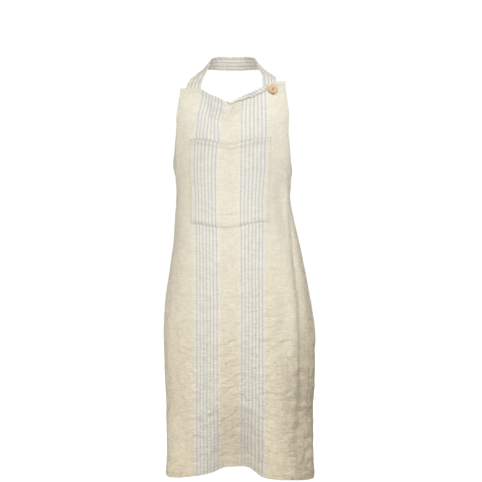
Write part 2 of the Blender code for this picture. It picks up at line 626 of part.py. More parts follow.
def button():
    """Turned button with a flat back, round rim and shallow dished face."""
    axis = button_frame()
    mesh = bpy.data.meshes.new("bib_button")
    edges = [(i, i + 1) for i in range(len(BUTTON_PROFILE) - 1)]
    mesh.from_pydata([(radius, 0, z) for radius, z in BUTTON_PROFILE], edges, [])
    wood = material("button_wood", colour=(0.72, 0.50, 0.33), roughness=0.45)
    ob = add("bib_button", mesh, wood, axis)
    screw = ob.modifiers.new("turned", "SCREW")
    screw.axis = "Z"
    screw.steps = screw.render_steps = 32
    screw.angle = 2 * math.pi
    screw.use_merge_vertices = True
    screw.merge_threshold = 0.00001
    screw.use_normal_calculate = True
    screw.use_smooth_shade = True
    for k, sign in enumerate((1, -1)):
        cutter = cylinder("button_hole_cutter_%d" % k, CUTTERS, axis,
                          vertices=12, radius=HOLE_R, depth=0.02)
        cutter.location = (sign * HOLE_X, sign * HOLE_Y, 0)
        cutter.hide_render = True
        cutter.display_type = "WIRE"
        cut = ob.modifiers.new("hole_%d" % k, "BOOLEAN")
        cut.operation = "DIFFERENCE"
        cut.solver = "EXACT"
        cut.object = cutter

    # thread: up one hole, across the dished face and down the other
    leg = (-0.0027, 0.0, 0.0020, DISH_Z + BUTTON_THREAD_R + 0.0003)
    points = ([(-HOLE_X, -HOLE_Y, z) for z in leg]
              + [(HOLE_X, HOLE_Y, z) for z in reversed(leg)])
    wire("button_thread", points,
         material("thread_button", colour=(0.35, 0.24, 0.15), roughness=0.80),
         radius=BUTTON_THREAD_R, axis=axis)


# ---------------------------------------------------------------- waist ties, knot and bow
def ribbon_row(centre, half, direction=(0, 0, 1)):
    """Three points across a ribbon."""
    return centre + np.outer((-half, 0, half), direction)


def mirrored(rows, sign):
    """Rows as a grid, turned end for end on the left so that both sides face alike."""
    rows = np.array(rows)
    return rows[:, ::-1] if sign < 0 else rows


def knot_point():
    ends = [on_cloth([sign * WAIST_HALF], [TIE_UP], 0.0018)[0] for _, sign in SIDES]
    return np.array([(ends[0][0] + ends[1][0]) / 2, KNOT_Y, KNOT_Z])


def waist_tie(side, sign, knot):
    """Tie sewn on the skirt's side corner, narrowing towards the knot."""
    up = TIE_UP + np.array([-1, 0, 1]) * TIE_W / 2
    rows = [on_cloth(sign * across, up, LAYER)
            for across in np.linspace(WAIST_HALF - TIE_SEWN, WAIST_HALF, 5)]
    start = rows[-1][1]
    stop = knot + (sign * (KNOT_R + 0.0012), -0.009, 0)
    for part in np.linspace(0, 1, 8)[1:]:
        arch = math.sin(math.pi * part)
        bow = np.array([0, 0.006 * arch * (1 - part), -0.004 * arch])
        half = TIE_W / 2 * (1 - 0.55 * smooth(0.4, 1, part))
        rows.append(ribbon_row(start * (1 - part) + stop * part + bow, half))
    sheet("waist_tie_" + side, mirrored(rows, sign), tie_linen(side), thick=TIE_T)
    tack("tie_bartack_" + side, sign * (WAIST_HALF - 0.016), TIE_UP, LAYER + TIE_T / 2 + 0.0009,
         0.009, 0.009, thread("tie_tack_" + side))


def tie_knot(knot):
    """Short barrel along the Y axis with rounded rims."""
    ob = cylinder("tie_knot", PARTS, empty("knot_centre", knot), vertices=28, radius=KNOT_R,
                  depth=KNOT_L, rotation=(math.pi / 2, 0, 0))
    ob.data.materials.append(tie_linen("knot"))
    bevel = ob.modifiers.new("round", "BEVEL")
    bevel.width = 0.004
    bevel.segments = 3
    bevel.limit_method = "ANGLE"
    ob.data.shade_smooth()


def bow_loop(side, sign, knot):
    """Ribbon going out from the knot and back, open at the knot."""
    count = 27
    rows = []
    for k in range(count):
        part = k / (count - 1)
        turn = 2 * math.pi * part
        arch = math.sin(math.pi * part)
        out = (KNOT_R + 0.0030) + (LOOP_L - KNOT_R) * (0.5 - 0.5 * math.cos(turn)) ** 0.72
        swell = 0.0085 * math.sin(turn) * (0.35 + 0.65 * arch ** 2)
        gap = 0.0014 * (1 if part < 0.5 else -1) * (1 - arch ** 0.6)
        droop = -0.022 * (out / LOOP_L) ** 2
        half = TIE_W / 2 * (0.42 + 0.58 * smooth(0.0, 0.45, arch))
        rows.append(ribbon_row(knot + (sign * out, 0.001 + swell + gap, 0.004 + droop), half))
    sheet("bow_loop_" + side, mirrored(rows, sign), tie_linen("bow_" + side[0]),
          empty("bow_axis_" + side, knot), thick=TIE_T)


def tie_tail(side, sign, knot):
    """Tail hanging from the knot, outside the skirt."""
    length, tail_y = TAILS[side]
    cosine, sine = math.cos(TAIL_TILT), math.sin(TAIL_TILT)
    rows = []
    for part in np.linspace(0, 1, 12):
        down = KNOT_R + 0.0016 + part * length
        centre = knot + (sign * (0.0035 + down * sine), tail_y + 0.006 * part, -down * cosine)
        half = TIE_W / 2 * (0.30 + 0.70 * smooth(0.0, 0.22, part))
        rows.append(ribbon_row(centre, half, (cosine, 0, sign * sine)))
    sheet("tie_tail_" + side, np.array(rows), tie_linen("tail_" + side[0]),
          empty("tail_axis_" + side, knot), thick=TIE_T)


# ---------------------------------------------------------------- build
for old in list(bpy.data.objects):
    bpy.data.objects.remove(old)
for block in (bpy.data.meshes, bpy.data.curves, bpy.data.materials):
    for item in list(block):
        block.remove(item)

PARTS = collection("bib_apron")
CUTTERS = collection("bib_apron_cutters")

body()
body_stitching()
buttonhole_stitch()
pocket()
neck_strap()
button()
knot_at = knot_point()
tie_knot(knot_at)
for side_name, side_sign in SIDES:
    for piece in (waist_tie, bow_loop, tie_tail):
        piece(side_name, side_sign, knot_at)
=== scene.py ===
"""A linen bib apron, draped as if worn, with a chest pocket, a buttoned neck strap and a tied waist.

Metres, +Z up. The front faces -Y and the skirt hem is near z = 0. "left" in names is the -X side.
Cloth is laid out in fabric coordinates: `across` runs from the centre line towards +X and
`level` runs from 0 at the skirt hem up to TOP at the bib's edge.
"""
import math

import bpy
import bmesh
import numpy as np
from mathutils import Matrix, Vector


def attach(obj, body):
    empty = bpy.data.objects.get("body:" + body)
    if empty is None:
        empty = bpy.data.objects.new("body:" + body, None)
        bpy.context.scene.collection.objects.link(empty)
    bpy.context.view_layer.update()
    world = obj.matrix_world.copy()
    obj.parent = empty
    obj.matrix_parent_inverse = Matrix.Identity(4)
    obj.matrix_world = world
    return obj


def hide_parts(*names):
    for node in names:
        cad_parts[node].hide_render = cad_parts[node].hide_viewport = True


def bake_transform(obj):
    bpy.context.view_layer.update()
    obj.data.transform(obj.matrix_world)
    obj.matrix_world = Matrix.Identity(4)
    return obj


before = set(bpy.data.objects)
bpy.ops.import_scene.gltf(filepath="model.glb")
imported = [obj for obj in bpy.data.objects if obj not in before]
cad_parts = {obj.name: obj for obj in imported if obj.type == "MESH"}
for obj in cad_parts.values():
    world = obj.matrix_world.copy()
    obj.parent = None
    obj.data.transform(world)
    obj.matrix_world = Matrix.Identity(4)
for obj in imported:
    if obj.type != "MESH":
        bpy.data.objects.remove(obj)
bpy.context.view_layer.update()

# ------------------------------------------------------------------ dimensions
SHIFT = np.array((-0.01075, 0.00212, 0.00005))  # puts the object's bottom centre on the origin
CLOTH = 0.0010          # nominal thickness of the linen
HALF_CLOTH = 0.00034    # from the cloth's middle surface to either face of a single layer
TOP = 0.885             # level of the bib's top edge
WAIST = 0.642           # level of the side corners, where the ties are sewn
W_TOP = 0.125           # half widths: bib at its top edge,
W_WAIST = 0.310         # skirt at the side corners,
W_HEM = 0.340           # and skirt at the bottom hem
HEM_SEAM = 0.0095       # skirt hem seam from its edge
NECK_SEAM = 0.0102      # neckline seam from its edge
SIDE_SEAM = 0.0068      # side and armhole seams from their edges
STRAP_W = 0.033
STRAP_LEFT, STRAP_RIGHT = -0.0960, 0.0855    # where the strap meets the bib's top edge
TIE_W = 0.024
TIE_LEVEL = WAIST - 0.016
BUTTON_R = 0.0110
BUTTON_T = 0.0036
BUTTON_ACROSS, BUTTON_LEVEL = 0.0925, 0.8660
HOLES = ((0.0018, 0.0033, 0.0013), (-0.0012, -0.0009, 0.0015))   # button holes: x, y, radius
SLOT_LEVEL = 0.8680     # middle of the buttonhole
SLOT_HALF = 0.0115      # half the buttonhole's height
KNOT_R = 0.0100
KNOT_L = 0.0300
LOOP_L = 0.078
TAIL_L = (0.235, 0.205)
SIDES = (("left", -1), ("right", 1))
FIVE = np.linspace(-1, 1, 5)    # places across a tape, as shares of its half width

# The tables below named as pairs of lists hold stations and the values at them.
POCKET_LEFT, POCKET_RIGHT = -0.0890, 0.0885
POCKET_LOW = ([-0.089, -0.064, -0.032, -0.001, 0.013, 0.029, 0.0885],
              [0.578, 0.578, 0.5772, 0.578, 0.5797, 0.581, 0.5812])     # across, bottom edge level
POCKET_TOP = ([-0.089, -0.053, -0.028, 0.001, 0.022, 0.042, 0.062, 0.0885],
              [0.766, 0.765, 0.762, 0.7592, 0.7612, 0.764, 0.7668, 0.7705])   # across, mouth level

# body sections: height, left half width, right half width, front depth, back depth, exponent, centre
SECTIONS = np.array([
    [-0.03, 0.1605, 0.1840, 0.106, 0.085, 3.1, -0.012],
    [0.000, 0.1600, 0.1835, 0.107, 0.085, 3.1, -0.012],
    [0.060, 0.1590, 0.1792, 0.109, 0.090, 2.9, -0.012],
    [0.140, 0.1597, 0.1812, 0.114, 0.095, 2.7, -0.012],
    [0.225, 0.1648, 0.1872, 0.119, 0.100, 2.6, -0.012],
    [0.310, 0.1672, 0.1887, 0.122, 0.104, 2.5, -0.012],
    [0.394, 0.1635, 0.1780, 0.121, 0.104, 2.4, -0.012],
    [0.480, 0.1520, 0.1620, 0.117, 0.098, 2.3, -0.013],
    [0.540, 0.1440, 0.1490, 0.113, 0.090, 2.2, -0.013],
    [0.600, 0.1405, 0.1350, 0.109, 0.084, 2.15, -0.013],
    [0.654, 0.1358, 0.1285, 0.108, 0.082, 2.1, -0.013],
    [0.700, 0.1405, 0.1350, 0.112, 0.085, 2.1, -0.013],
    [0.745, 0.1520, 0.1450, 0.120, 0.090, 2.1, -0.013],
    [0.790, 0.1630, 0.1580, 0.118, 0.095, 2.1, -0.013],
    [0.835, 0.1780, 0.1760, 0.100, 0.095, 2.1, -0.013],
    [0.880, 0.1900, 0.1900, 0.074, 0.090, 2.1, -0.013],
    [0.920, 0.1950, 0.1950, 0.050, 0.085, 2.1, -0.013],
])
BACK_EXPONENT = 2.1
# the bottom hem seen from below: x, y along the front
HEM_LINE = (
    [-0.165, -0.1513, -0.1417, -0.1326, -0.1148, -0.0969, -0.0790, -0.0610, -0.0431,
     -0.0343, -0.0251, -0.0159, 0.0026, 0.0118, 0.0303, 0.0394, 0.0484, 0.0570,
     0.0658, 0.0747, 0.0835, 0.1011, 0.1188, 0.1455, 0.1638, 0.1736, 0.185],
    [-0.0740, -0.0870, -0.0960, -0.0965, -0.0925, -0.0895, -0.0860, -0.0800, -0.0690,
     -0.0550, -0.0450, -0.0425, -0.0390, -0.0365, -0.0360, -0.0410, -0.0550, -0.0800,
     -0.0970, -0.1040, -0.1120, -0.1195, -0.1212, -0.1212, -0.1170, -0.1070, -0.0880])
# how far the hem is lifted: across, lift
HEM_LIFT = (
    [-0.097, -0.079, -0.061, -0.043, -0.034, -0.025, -0.016, 0.003, 0.030, 0.039, 0.048, 0.057,
     0.066, 0.075],
    [0.0, 0.0015, 0.0035, 0.0065, 0.0085, 0.0105, 0.012, 0.0127, 0.0125, 0.0115, 0.0085, 0.004,
     0.001, 0.0])
# depth by height of the valley down the front middle and of the fold near the +X side
VALLEY = ([-0.03, 0.0, 0.08, 0.18, 0.30, 0.42, 0.92], [0.056, 0.053, 0.040, 0.022, 0.006, 0.0, 0.0])
SIDE_FOLD = ([-0.03, 0.0, 0.2, 0.4, 0.6, 0.66, 0.72, 0.92],
             [0.010, 0.010, 0.011, 0.011, 0.010, 0.008, 0.0, 0.0])
# how the cloth is pulled across: level, then the drape distance of each SPREAD_ACROSS station
SPREAD_ACROSS = [-0.36, -0.20, -0.125, -0.0735, -0.0273, 0.0273, 0.0735, 0.125, 0.20, 0.36]
SPREAD = [
    (0.00, SPREAD_ACROSS),
    (0.45, SPREAD_ACROSS),
    (0.62, [-0.36, -0.20, -0.130, -0.0760, -0.0285, 0.0270, 0.0760, 0.130, 0.20, 0.36]),
    (0.72, [-0.36, -0.20, -0.129, -0.0790, -0.0280, 0.0280, 0.0810, 0.131, 0.20, 0.36]),
    (0.775, [-0.36, -0.20, -0.1285, -0.0765, -0.0240, 0.0292, 0.0832, 0.1355, 0.21, 0.36]),
    (0.81, [-0.36, -0.20, -0.1275, -0.0705, -0.0255, 0.0290, 0.0830, 0.1395, 0.21, 0.36]),
    (0.885, [-0.36, -0.19, -0.1135, -0.0590, -0.0155, 0.0330, 0.0815, 0.1300, 0.21, 0.36]),
]
# the top hem rolls over to the front: across, distance turned over
ROLL = ([-0.020, -0.008, 0.0065, 0.025, 0.040, 0.055, 0.070, 0.083],
        [0.0, 0.006, 0.012, 0.018, 0.019, 0.017, 0.012, 0.0])
ROLL_RISE = 0.0021      # the rolled fold stands this far above the cloth line under it
ROLL_R = 0.0014         # radius of the roll
ROLL_ANGLE = math.radians(182)
# upper outline of the bib: across, height
TOP_LINE = (
    [-0.125, -0.082, -0.073, -0.055, -0.040, -0.027, -0.018, -0.006, 0.0065, 0.025, 0.044,
     0.062, 0.081, 0.090, 0.101, 0.125],
    [0.8835, 0.8830, 0.8765, 0.8655, 0.8590, 0.8520, 0.8465, 0.8436, 0.8495, 0.8600, 0.8710,
     0.8803, 0.8905, 0.8955, 0.8990, 0.9012])
# by level: share of the top outline's drop, and the front sag's depth, half width and middle
DROP_SHARE = ([0.70, 0.76, 0.80, 0.83, 0.85, 0.868, 0.885], [0.0, 0.07, 0.24, 0.50, 0.77, 1.0, 1.0])
SAG_DEPTH = ([-0.01, 0.22, 0.45, 0.58, 0.70, 0.762, 0.810, 0.885],
             [0.0, 0.0, 0.006, 0.010, 0.008, 0.004, 0.0, 0.0])
SAG_WIDTH = ([0.0, 0.2, 0.58, 0.76, 0.885], [0.060, 0.075, 0.085, 0.085, 0.088])
SAG_MIDDLE = ([0.0, 0.2, 0.76, 0.885], [0.012, 0.0, 0.0, 0.002])
LIFT_SHARE = ([-0.01, 0.0, 0.10, 0.22, 0.885], [1.0, 1.0, 0.35, 0.0, 0.0])


# ------------------------------------------------------------------ small maths
def curve(stations, values, x):
    """Smooth interpolation through stations, without overshoot."""
    stations = np.asarray(stations, float)
    values = np.asarray(values, float)
    slopes = np.gradient(values, stations)
    chords = np.diff(values) / np.diff(stations)
    for i in range(len(stations)):
        before = chords[i - 1] if i else chords[0]
        after = chords[i] if i < len(chords) else chords[-1]
        if before * after <= 0:
            slopes[i] = 0.0
        else:
            limit = 3 * min(abs(before), abs(after))
            slopes[i] = math.copysign(min(abs(slopes[i]), limit), slopes[i])
    x = np.clip(np.asarray(x, float), stations[0], stations[-1])
    i = np.clip(np.searchsorted(stations, x) - 1, 0, len(stations) - 2)
    gap = stations[i + 1] - stations[i]
    share = (x - stations[i]) / gap
    return ((2 * share**3 - 3 * share**2 + 1) * values[i]
            + (share**3 - 2 * share**2 + share) * gap * slopes[i]
            + (-2 * share**3 + 3 * share**2) * values[i + 1]
            + (share**3 - share**2) * gap * slopes[i + 1])


def ease(low, high, x):
    """Smooth step from 0 at low to 1 at high."""
    share = np.clip((np.asarray(x, float) - low) / (high - low), 0, 1)
    return share * share * (3 - 2 * share)


def bell(offset, width=1.0):
    return np.exp(-(offset / width) ** 2)


def arch(offset, half_width):
    """1 in the middle, falling to 0 at half_width."""
    return np.cos(np.pi / 2 * np.clip(np.abs(offset) / half_width, 0, 1)) ** 2


def unit(vectors):
    return vectors / np.maximum(np.linalg.norm(vectors, axis=-1, keepdims=True), 1e-12)


def path_lengths(points):
    """Distance along a path at each of its points."""
    return np.concatenate([[0], np.cumsum(np.linalg.norm(np.diff(points, axis=0), axis=1))])


def interp3(x, stations, points):
    """Straight interpolation of 3D points."""
    return np.stack([np.interp(x, stations, points[:, axis]) for axis in range(3)], -1)


def curve3(stations, points, x):
    """Smooth interpolation of 3D points."""
    return np.stack([curve(stations, points[:, axis], x) for axis in range(3)], -1)


def xyz(x, y, z):
    return np.stack(np.broadcast_arrays(x, y, z), -1)


# ------------------------------------------------------------------ drape
def section_at(height_z):
    """Left, right, front, back, exponent and centre of the body at a height."""
    return [curve(SECTIONS[:, 0], SECTIONS[:, k], height_z) for k in range(1, 7)]


def body_outline(angle, left, right, front, back, exponent):
    """x and y round one body section; angle 0 is the middle of the front."""
    cosine, sine = np.cos(angle), np.sin(angle)
    x = np.where(sine >= 0, right, left) * np.sign(sine) * np.abs(sine) ** (2 / exponent)
    y = np.where(cosine >= 0, -front * np.abs(cosine) ** (2 / exponent),
                 back * np.abs(cosine) ** (2 / BACK_EXPONENT))
    return x, y


def drape_table(height_count=200, across_count=601, reach=0.40):
    """x and y of the draped cloth for a grid of heights and distances across."""
    heights = np.linspace(-0.03, 0.92, height_count)
    distances = np.linspace(-reach, reach, across_count)
    angle = np.linspace(-np.pi, np.pi, 1441)
    cosine = np.cos(angle)
    columns = section_at(heights)
    valley = curve(*VALLEY, heights)
    fold = curve(*SIDE_FOLD, heights)
    near_hem = 1 - ease(0.0, 0.190, heights)
    table_x = np.zeros((height_count, across_count))
    table_y = np.zeros((height_count, across_count))
    for i in range(height_count):
        left, right, front, back, exponent, centre = [column[i] for column in columns]
        x, y = body_outline(angle, left, right, front, back, exponent)
        length = np.concatenate([[0], np.cumsum(np.hypot(np.diff(x), np.diff(y)))])
        on_front = np.where(cosine >= 0, np.clip(np.abs(cosine) * 3, 0, 1), 0)
        dip = (valley[i] * bell(x - 0.010, np.where(x < 0.010, 0.038, 0.033))
               + fold[i] * bell(x - (right - 0.030), 0.013))
        to_hem_line = curve(*HEM_LINE, x) - y
        y = y + on_front * (dip * (1 - near_hem[i]) + to_hem_line * near_hem[i])
        half = np.where(cosine >= 0)[0]
        start = np.interp(centre, x[half], length[half])
        table_x[i] = np.interp(distances + start, length, x)
        table_y[i] = np.interp(distances + start, length, y)
    return heights, distances, table_x, table_y


DRAPE = drape_table()


def drape_xy(distance, height_z):
    """x and y of the drape, blended between the four nearest table entries."""
    heights, distances, table_x, table_y = DRAPE
    row = np.clip((height_z - heights[0]) / (heights[1] - heights[0]), 0, len(heights) - 1.001)
    column = np.clip((distance - distances[0]) / (distances[1] - distances[0]),
                     0, len(distances) - 1.001)
    i = row.astype(int)
    j = column.astype(int)
    row_share = row - i
    col_share = column - j
    return [grid[i, j] * (1 - row_share) * (1 - col_share)
            + grid[i + 1, j] * row_share * (1 - col_share)
            + grid[i, j + 1] * (1 - row_share) * col_share
            + grid[i + 1, j + 1] * row_share * col_share for grid in (table_x, table_y)]


def half_width(level):
    """Half width of the flat pattern (curved armholes above the waist)."""
    level = np.asarray(level, float)
    share = np.clip((level - WAIST) / (TOP - WAIST), 0, 1)
    bib = W_TOP + (W_WAIST - W_TOP) * (1 - share) ** 3.5
    skirt = W_WAIST + (W_HEM - W_WAIST) * np.clip((WAIST - level) / WAIST, 0, 1)
    return np.where(level >= WAIST, bib, skirt)


def spread(across, level):
    """Distance across the drape for a fabric point."""
    rows = np.stack([np.interp(across, SPREAD_ACROSS, row[1]) for row in SPREAD], 0)
    levels = np.array([row[0] for row in SPREAD])
    inside = np.clip(level, levels[0], levels[-1])
    i = np.clip(np.searchsorted(levels, inside) - 1, 0, len(levels) - 2)
    share = (inside - levels[i]) / (levels[i + 1] - levels[i])
    share = share * share * (3 - 2 * share)
    lower = np.take_along_axis(rows, i[None], 0)[0]
    upper = np.take_along_axis(rows, (i + 1)[None], 0)[0]
    return lower * (1 - share) + upper * share


def rolled(across):
    """How far below the cut edge the top hem turns over."""
    return curve(*ROLL, across)


def height(across, level):
    """Height of a fabric point: the neckline and the front sag, the +X corner sits higher."""
    turned = rolled(across)
    drop = (TOP - turned) - (curve(*TOP_LINE, across) - ROLL_RISE * ease(0.0, 0.006, turned))
    share = curve(*DROP_SHARE, level)
    sag = curve(*SAG_DEPTH, level)
    lift = curve(*HEM_LIFT, across) * curve(*LIFT_SHARE, level)
    sag_width = curve(*SAG_WIDTH, level)
    middle = curve(*SAG_MIDDLE, level)
    return level - drop * share - sag * arch(across - middle, sag_width) + lift


def place(across, level):
    """Point of the draped cloth's middle surface, before SHIFT, sag and wrinkles."""
    across, level = np.broadcast_arrays(np.asarray(across, float), np.asarray(level, float))
    z = height(across, level)
    x, y = drape_xy(spread(across, level), z)
    cowl = 0.013 * ease(0.800, 0.872, level) * arch(across + 0.002, 0.085)
    return np.stack([x, y - cowl, z], -1)


def face_normal(surface, across, level, step):
    """Outward normal of a surface function."""
    sideways = surface(across + step, level) - surface(across - step, level)
    upwards = surface(across, level + step) - surface(across, level - step)
    return unit(np.cross(sideways, upwards))


def off_form(across, level, offset):
    """Point at a distance from the smooth drape."""
    return place(across, level) + face_normal(place, across, level, 0.002) * offset


# ------------------------------------------------------------------ wrinkles
def waves(seed, count, shortest, longest, stretch_across, stretch_up):
    """Smooth random field of sine waves with wavelengths between shortest and longest."""
    rng = np.random.default_rng(seed)
    wavelength = shortest * (longest / shortest) ** rng.random(count)
    angle = rng.random(count) * 2 * np.pi
    phase = rng.random(count) * 2 * np.pi
    turn_across = 2 * np.pi / wavelength * np.cos(angle) / stretch_across
    turn_up = 2 * np.pi / wavelength * np.sin(angle) / stretch_up
    strength = wavelength / longest
    strength = strength / math.sqrt((strength ** 2).sum() / 2)

    def field(across, level):
        total = np.zeros(np.broadcast(across, level).shape)
        for size, per_across, per_up, start in zip(strength, turn_across, turn_up, phase):
            total += size * np.sin(per_across * across + per_up * level + start)
        return total
    return field


# arguments: seed, count, shortest and longest wavelength, stretch across, stretch up
BROAD = waves(3, 26, 0.09, 0.26, 0.62, 1.6)      # long soft undulations running down the cloth
CROSS = waves(11, 30, 0.035, 0.10, 1.9, 0.75)    # shallow creases running across
CRUMPLE = waves(23, 44, 0.014, 0.045, 1.1, 1.0)  # crumple left from washing
PINCH_A = waves(71, 24, 0.030, 0.075, 0.8, 1.2)
PINCH_B = waves(83, 24, 0.030, 0.075, 1.2, 0.8)
RIDGE_A = waves(41, 30, 0.05, 0.13, 0.8, 1.3)
RIDGE_B = waves(57, 30, 0.04, 0.11, 1.2, 0.9)

# the deep fold at the +X side: level, across, depth, width
DEEP_FOLD = np.array([
    (0.06, 0.156, 0.0, 0.008), (0.105, 0.158, 0.0018, 0.008), (0.173, 0.162, 0.0040, 0.0085),
    (0.230, 0.167, 0.0058, 0.009), (0.309, 0.167, 0.0066, 0.0095), (0.399, 0.166, 0.0066, 0.0105),
    (0.501, 0.159, 0.0056, 0.012), (0.582, 0.158, 0.0048, 0.012), (0.630, 0.163, 0.0044, 0.010),
    (0.665, 0.165, 0.0040, 0.0085), (0.690, 0.151, 0.0034, 0.0075),
    (0.712, 0.128, 0.0022, 0.0065), (0.735, 0.112, 0.0, 0.006)]).T

# single creases: across and level of both ends, bow, depth, half width
CREASES = [
    (0.09, 0.136, 0.135, 0.125, -0.0015, 0.0016, 0.0026),
    (0.142, 0.144, 0.211, 0.133, 0.001, 0.001, 0.0026),
    (0.142, 0.132, 0.212, 0.119, 0.0, 0.001, 0.0024),
    (0.16, 0.136, 0.158, 0.106, 0.001, 0.0012, 0.0026),
    (0.156, 0.107, 0.156, 0.059, -0.0015, 0.001, 0.0028),
    (0.183, 0.198, 0.184, 0.133, 0.001, 0.0011, 0.0028),
    (0.162, 0.215, 0.165, 0.195, 0.0, 0.001, 0.0026),
    (0.139, 0.171, 0.142, 0.146, 0.0, 0.0013, 0.0034),
    (0.103, 0.072, 0.152, 0.093, 0.0012, 0.0013, 0.0024),
    (0.105, 0.0715, 0.147, 0.067, 0.0, 0.001, 0.0022),
    (0.118, 0.06, 0.148, 0.048, 0.001, 0.0009, 0.0024),
    (0.11, 0.042, 0.133, 0.05, 0.0, 0.0008, 0.0022),
    (0.175, 0.095, 0.195, 0.07, 0.001, 0.001, 0.0026),
    (0.17, 0.062, 0.2, 0.078, 0.0, 0.0009, 0.0024),
    (0.18, 0.045, 0.188, 0.017, 0.0, 0.0009, 0.0028),
    (0.128, 0.11, 0.138, 0.08, 0.0008, 0.0007, 0.0024),
    (0.072, 0.284, 0.095, 0.257, -0.0015, 0.0008, 0.0028),
    (0.073, 0.24, 0.097, 0.217, -0.0015, 0.0009, 0.0028),
    (0.074, 0.209, 0.083, 0.198, -0.0008, 0.0008, 0.0024),
    (0.074, 0.188, 0.089, 0.166, -0.0012, 0.001, 0.0026),
    (0.074, 0.154, 0.09, 0.136, -0.0012, 0.0012, 0.0026),
    (-0.027, 0.301, 0.031, 0.322, 0.0022, 0.0011, 0.0024),
    (-0.026, 0.312, 0.029, 0.329, 0.002, 0.0009, 0.0022),
    (-0.008, 0.262, 0.022, 0.275, 0.0012, 0.001, 0.0022),
    (-0.025, 0.184, 0.006, 0.211, -0.0025, 0.0012, 0.0024),
    (-0.018, 0.218, 0.011, 0.233, -0.0012, 0.0008, 0.0022),
    (-0.025, 0.126, 0.023, 0.156, -0.003, 0.0013, 0.0024),
    (-0.025, 0.087, 0.006, 0.107, -0.002, 0.0012, 0.0024),
    (-0.002, 0.1, 0.026, 0.111, 0.001, 0.0008, 0.0022),
    (-0.016, 0.056, 0.013, 0.069, 0.001, 0.0008, 0.0022),
    (-0.126, 0.269, -0.09, 0.2725, 0.0004, 0.0009, 0.002),
    (-0.138, 0.1815, -0.093, 0.1875, 0.0006, 0.0006, 0.002),
    (-0.14, 0.1265, -0.088, 0.1335, 0.0008, 0.0006, 0.002),
    (-0.124, 0.148, -0.098, 0.146, 0.0, 0.0005, 0.002),
    (-0.054, 0.065, -0.021, 0.055, 0.0, 0.0009, 0.002),
    (-0.125, 0.34, -0.124, 0.278, 0.0008, 0.0009, 0.0026),
    (-0.118, 0.24, -0.12, 0.19, 0.0008, 0.0006, 0.0026),
    (0.028, 0.478, 0.072, 0.488, 0.002, 0.0006, 0.0022),
    (0.031, 0.508, 0.048, 0.515, 0.001, 0.0005, 0.002),
    (0.087, 0.855, 0.0795, 0.823, -0.001, 0.0009, 0.0028),
    (-0.012, 0.501, 0.012, 0.506, 0.0006, 0.0006, 0.002),
    (-0.015, 0.46, 0.011, 0.46, 0.0004, 0.0005, 0.002),
    (-0.018, 0.558, 0.006, 0.561, 0.0006, 0.0005, 0.002),
    (-0.016, 0.405, 0.018, 0.409, 0.0006, 0.0005, 0.002),
    (-0.02, 0.365, 0.01, 0.362, 0.0006, 0.0005, 0.002),
    (-0.07, 0.43, -0.025, 0.436, 0.001, 0.0004, 0.0022),
    (0.09, 0.556, 0.12, 0.559, 0.001, 0.0005, 0.0022),
    (0.09, 0.435, 0.118, 0.429, 0.001, 0.0005, 0.0022),
    (0.095, 0.35, 0.115, 0.328, 0.001, 0.0006, 0.0024),
    (-0.098, 0.67, -0.086, 0.6702, 0.0, 0.0005, 0.0018),
    (0.087, 0.656, 0.098, 0.653, 0.0, 0.0006, 0.002),
    (-0.004, 0.846, 0.022, 0.818, -0.003, 0.0007, 0.0026),
    (0.022, 0.818, 0.031, 0.846, -0.0022, 0.0008, 0.0026),
    (-0.034, 0.7, -0.033, 0.69, 0.0, 0.0006, 0.0026),
    (-0.011, 0.704, 0.015, 0.656, -0.002, 0.0006, 0.003),
    (0.09, 0.128, 0.133, 0.12, -0.001, 0.0012, 0.0024),
    (-0.027, 0.345, 0.023, 0.362, 0.002, 0.0007, 0.0024),
    (0.148, 0.33, 0.15, 0.25, 0.001, 0.0012, 0.003),
    (0.18, 0.36, 0.183, 0.23, 0.0012, 0.0011, 0.0034),
    (0.13, 0.305, 0.133, 0.215, 0.001, 0.0008, 0.0032),
    (0.192, 0.3, 0.198, 0.15, 0.0012, 0.0012, 0.0034),
    (0.086, 0.452, 0.093, 0.41, -0.0012, 0.0006, 0.0026),
    (-0.027, 0.242, 0.024, 0.259, 0.0024, 0.0008, 0.0022),
    (-0.027, 0.156, 0.01, 0.176, -0.0022, 0.0011, 0.0022),
    (-0.021, 0.108, 0.018, 0.13, -0.0022, 0.001, 0.0022),
    (0.01, 0.19, 0.02, 0.135, 0.002, 0.001, 0.003),
    (0.005, 0.25, 0.015, 0.195, 0.002, 0.001, 0.0032),
]


def crease_field(across, level):
    total = np.zeros(np.broadcast(across, level).shape)
    for across_0, level_0, across_1, level_1, bow, depth, half in CREASES:
        run, rise = across_1 - across_0, level_1 - level_0
        length = math.hypot(run, rise)
        run, rise = run / length, rise / length
        share = ((across - across_0) * run + (level - level_0) * rise) / length
        aside = -(across - across_0) * rise + (level - level_0) * run
        aside = aside - bow * (1 - (2 * np.clip(share, 0, 1) - 1) ** 2)
        ends = ease(-0.12, 0.18, share) * (1 - ease(0.82, 1.12, share))
        aside = aside / half
        # a crease is a sharp valley with a soft lip on one side
        total += -depth * ends * (bell(aside) - 0.75 * bell(aside - 1.7, 1.1))
    return total


def pinch(across, level):
    """Facets of crushed cloth: sharp valleys between soft pillows."""
    return (np.sqrt(np.abs(PINCH_A(across, level)) + 0.02)
            + 0.8 * np.sqrt(np.abs(PINCH_B(across, level)) + 0.02) - 1.3)


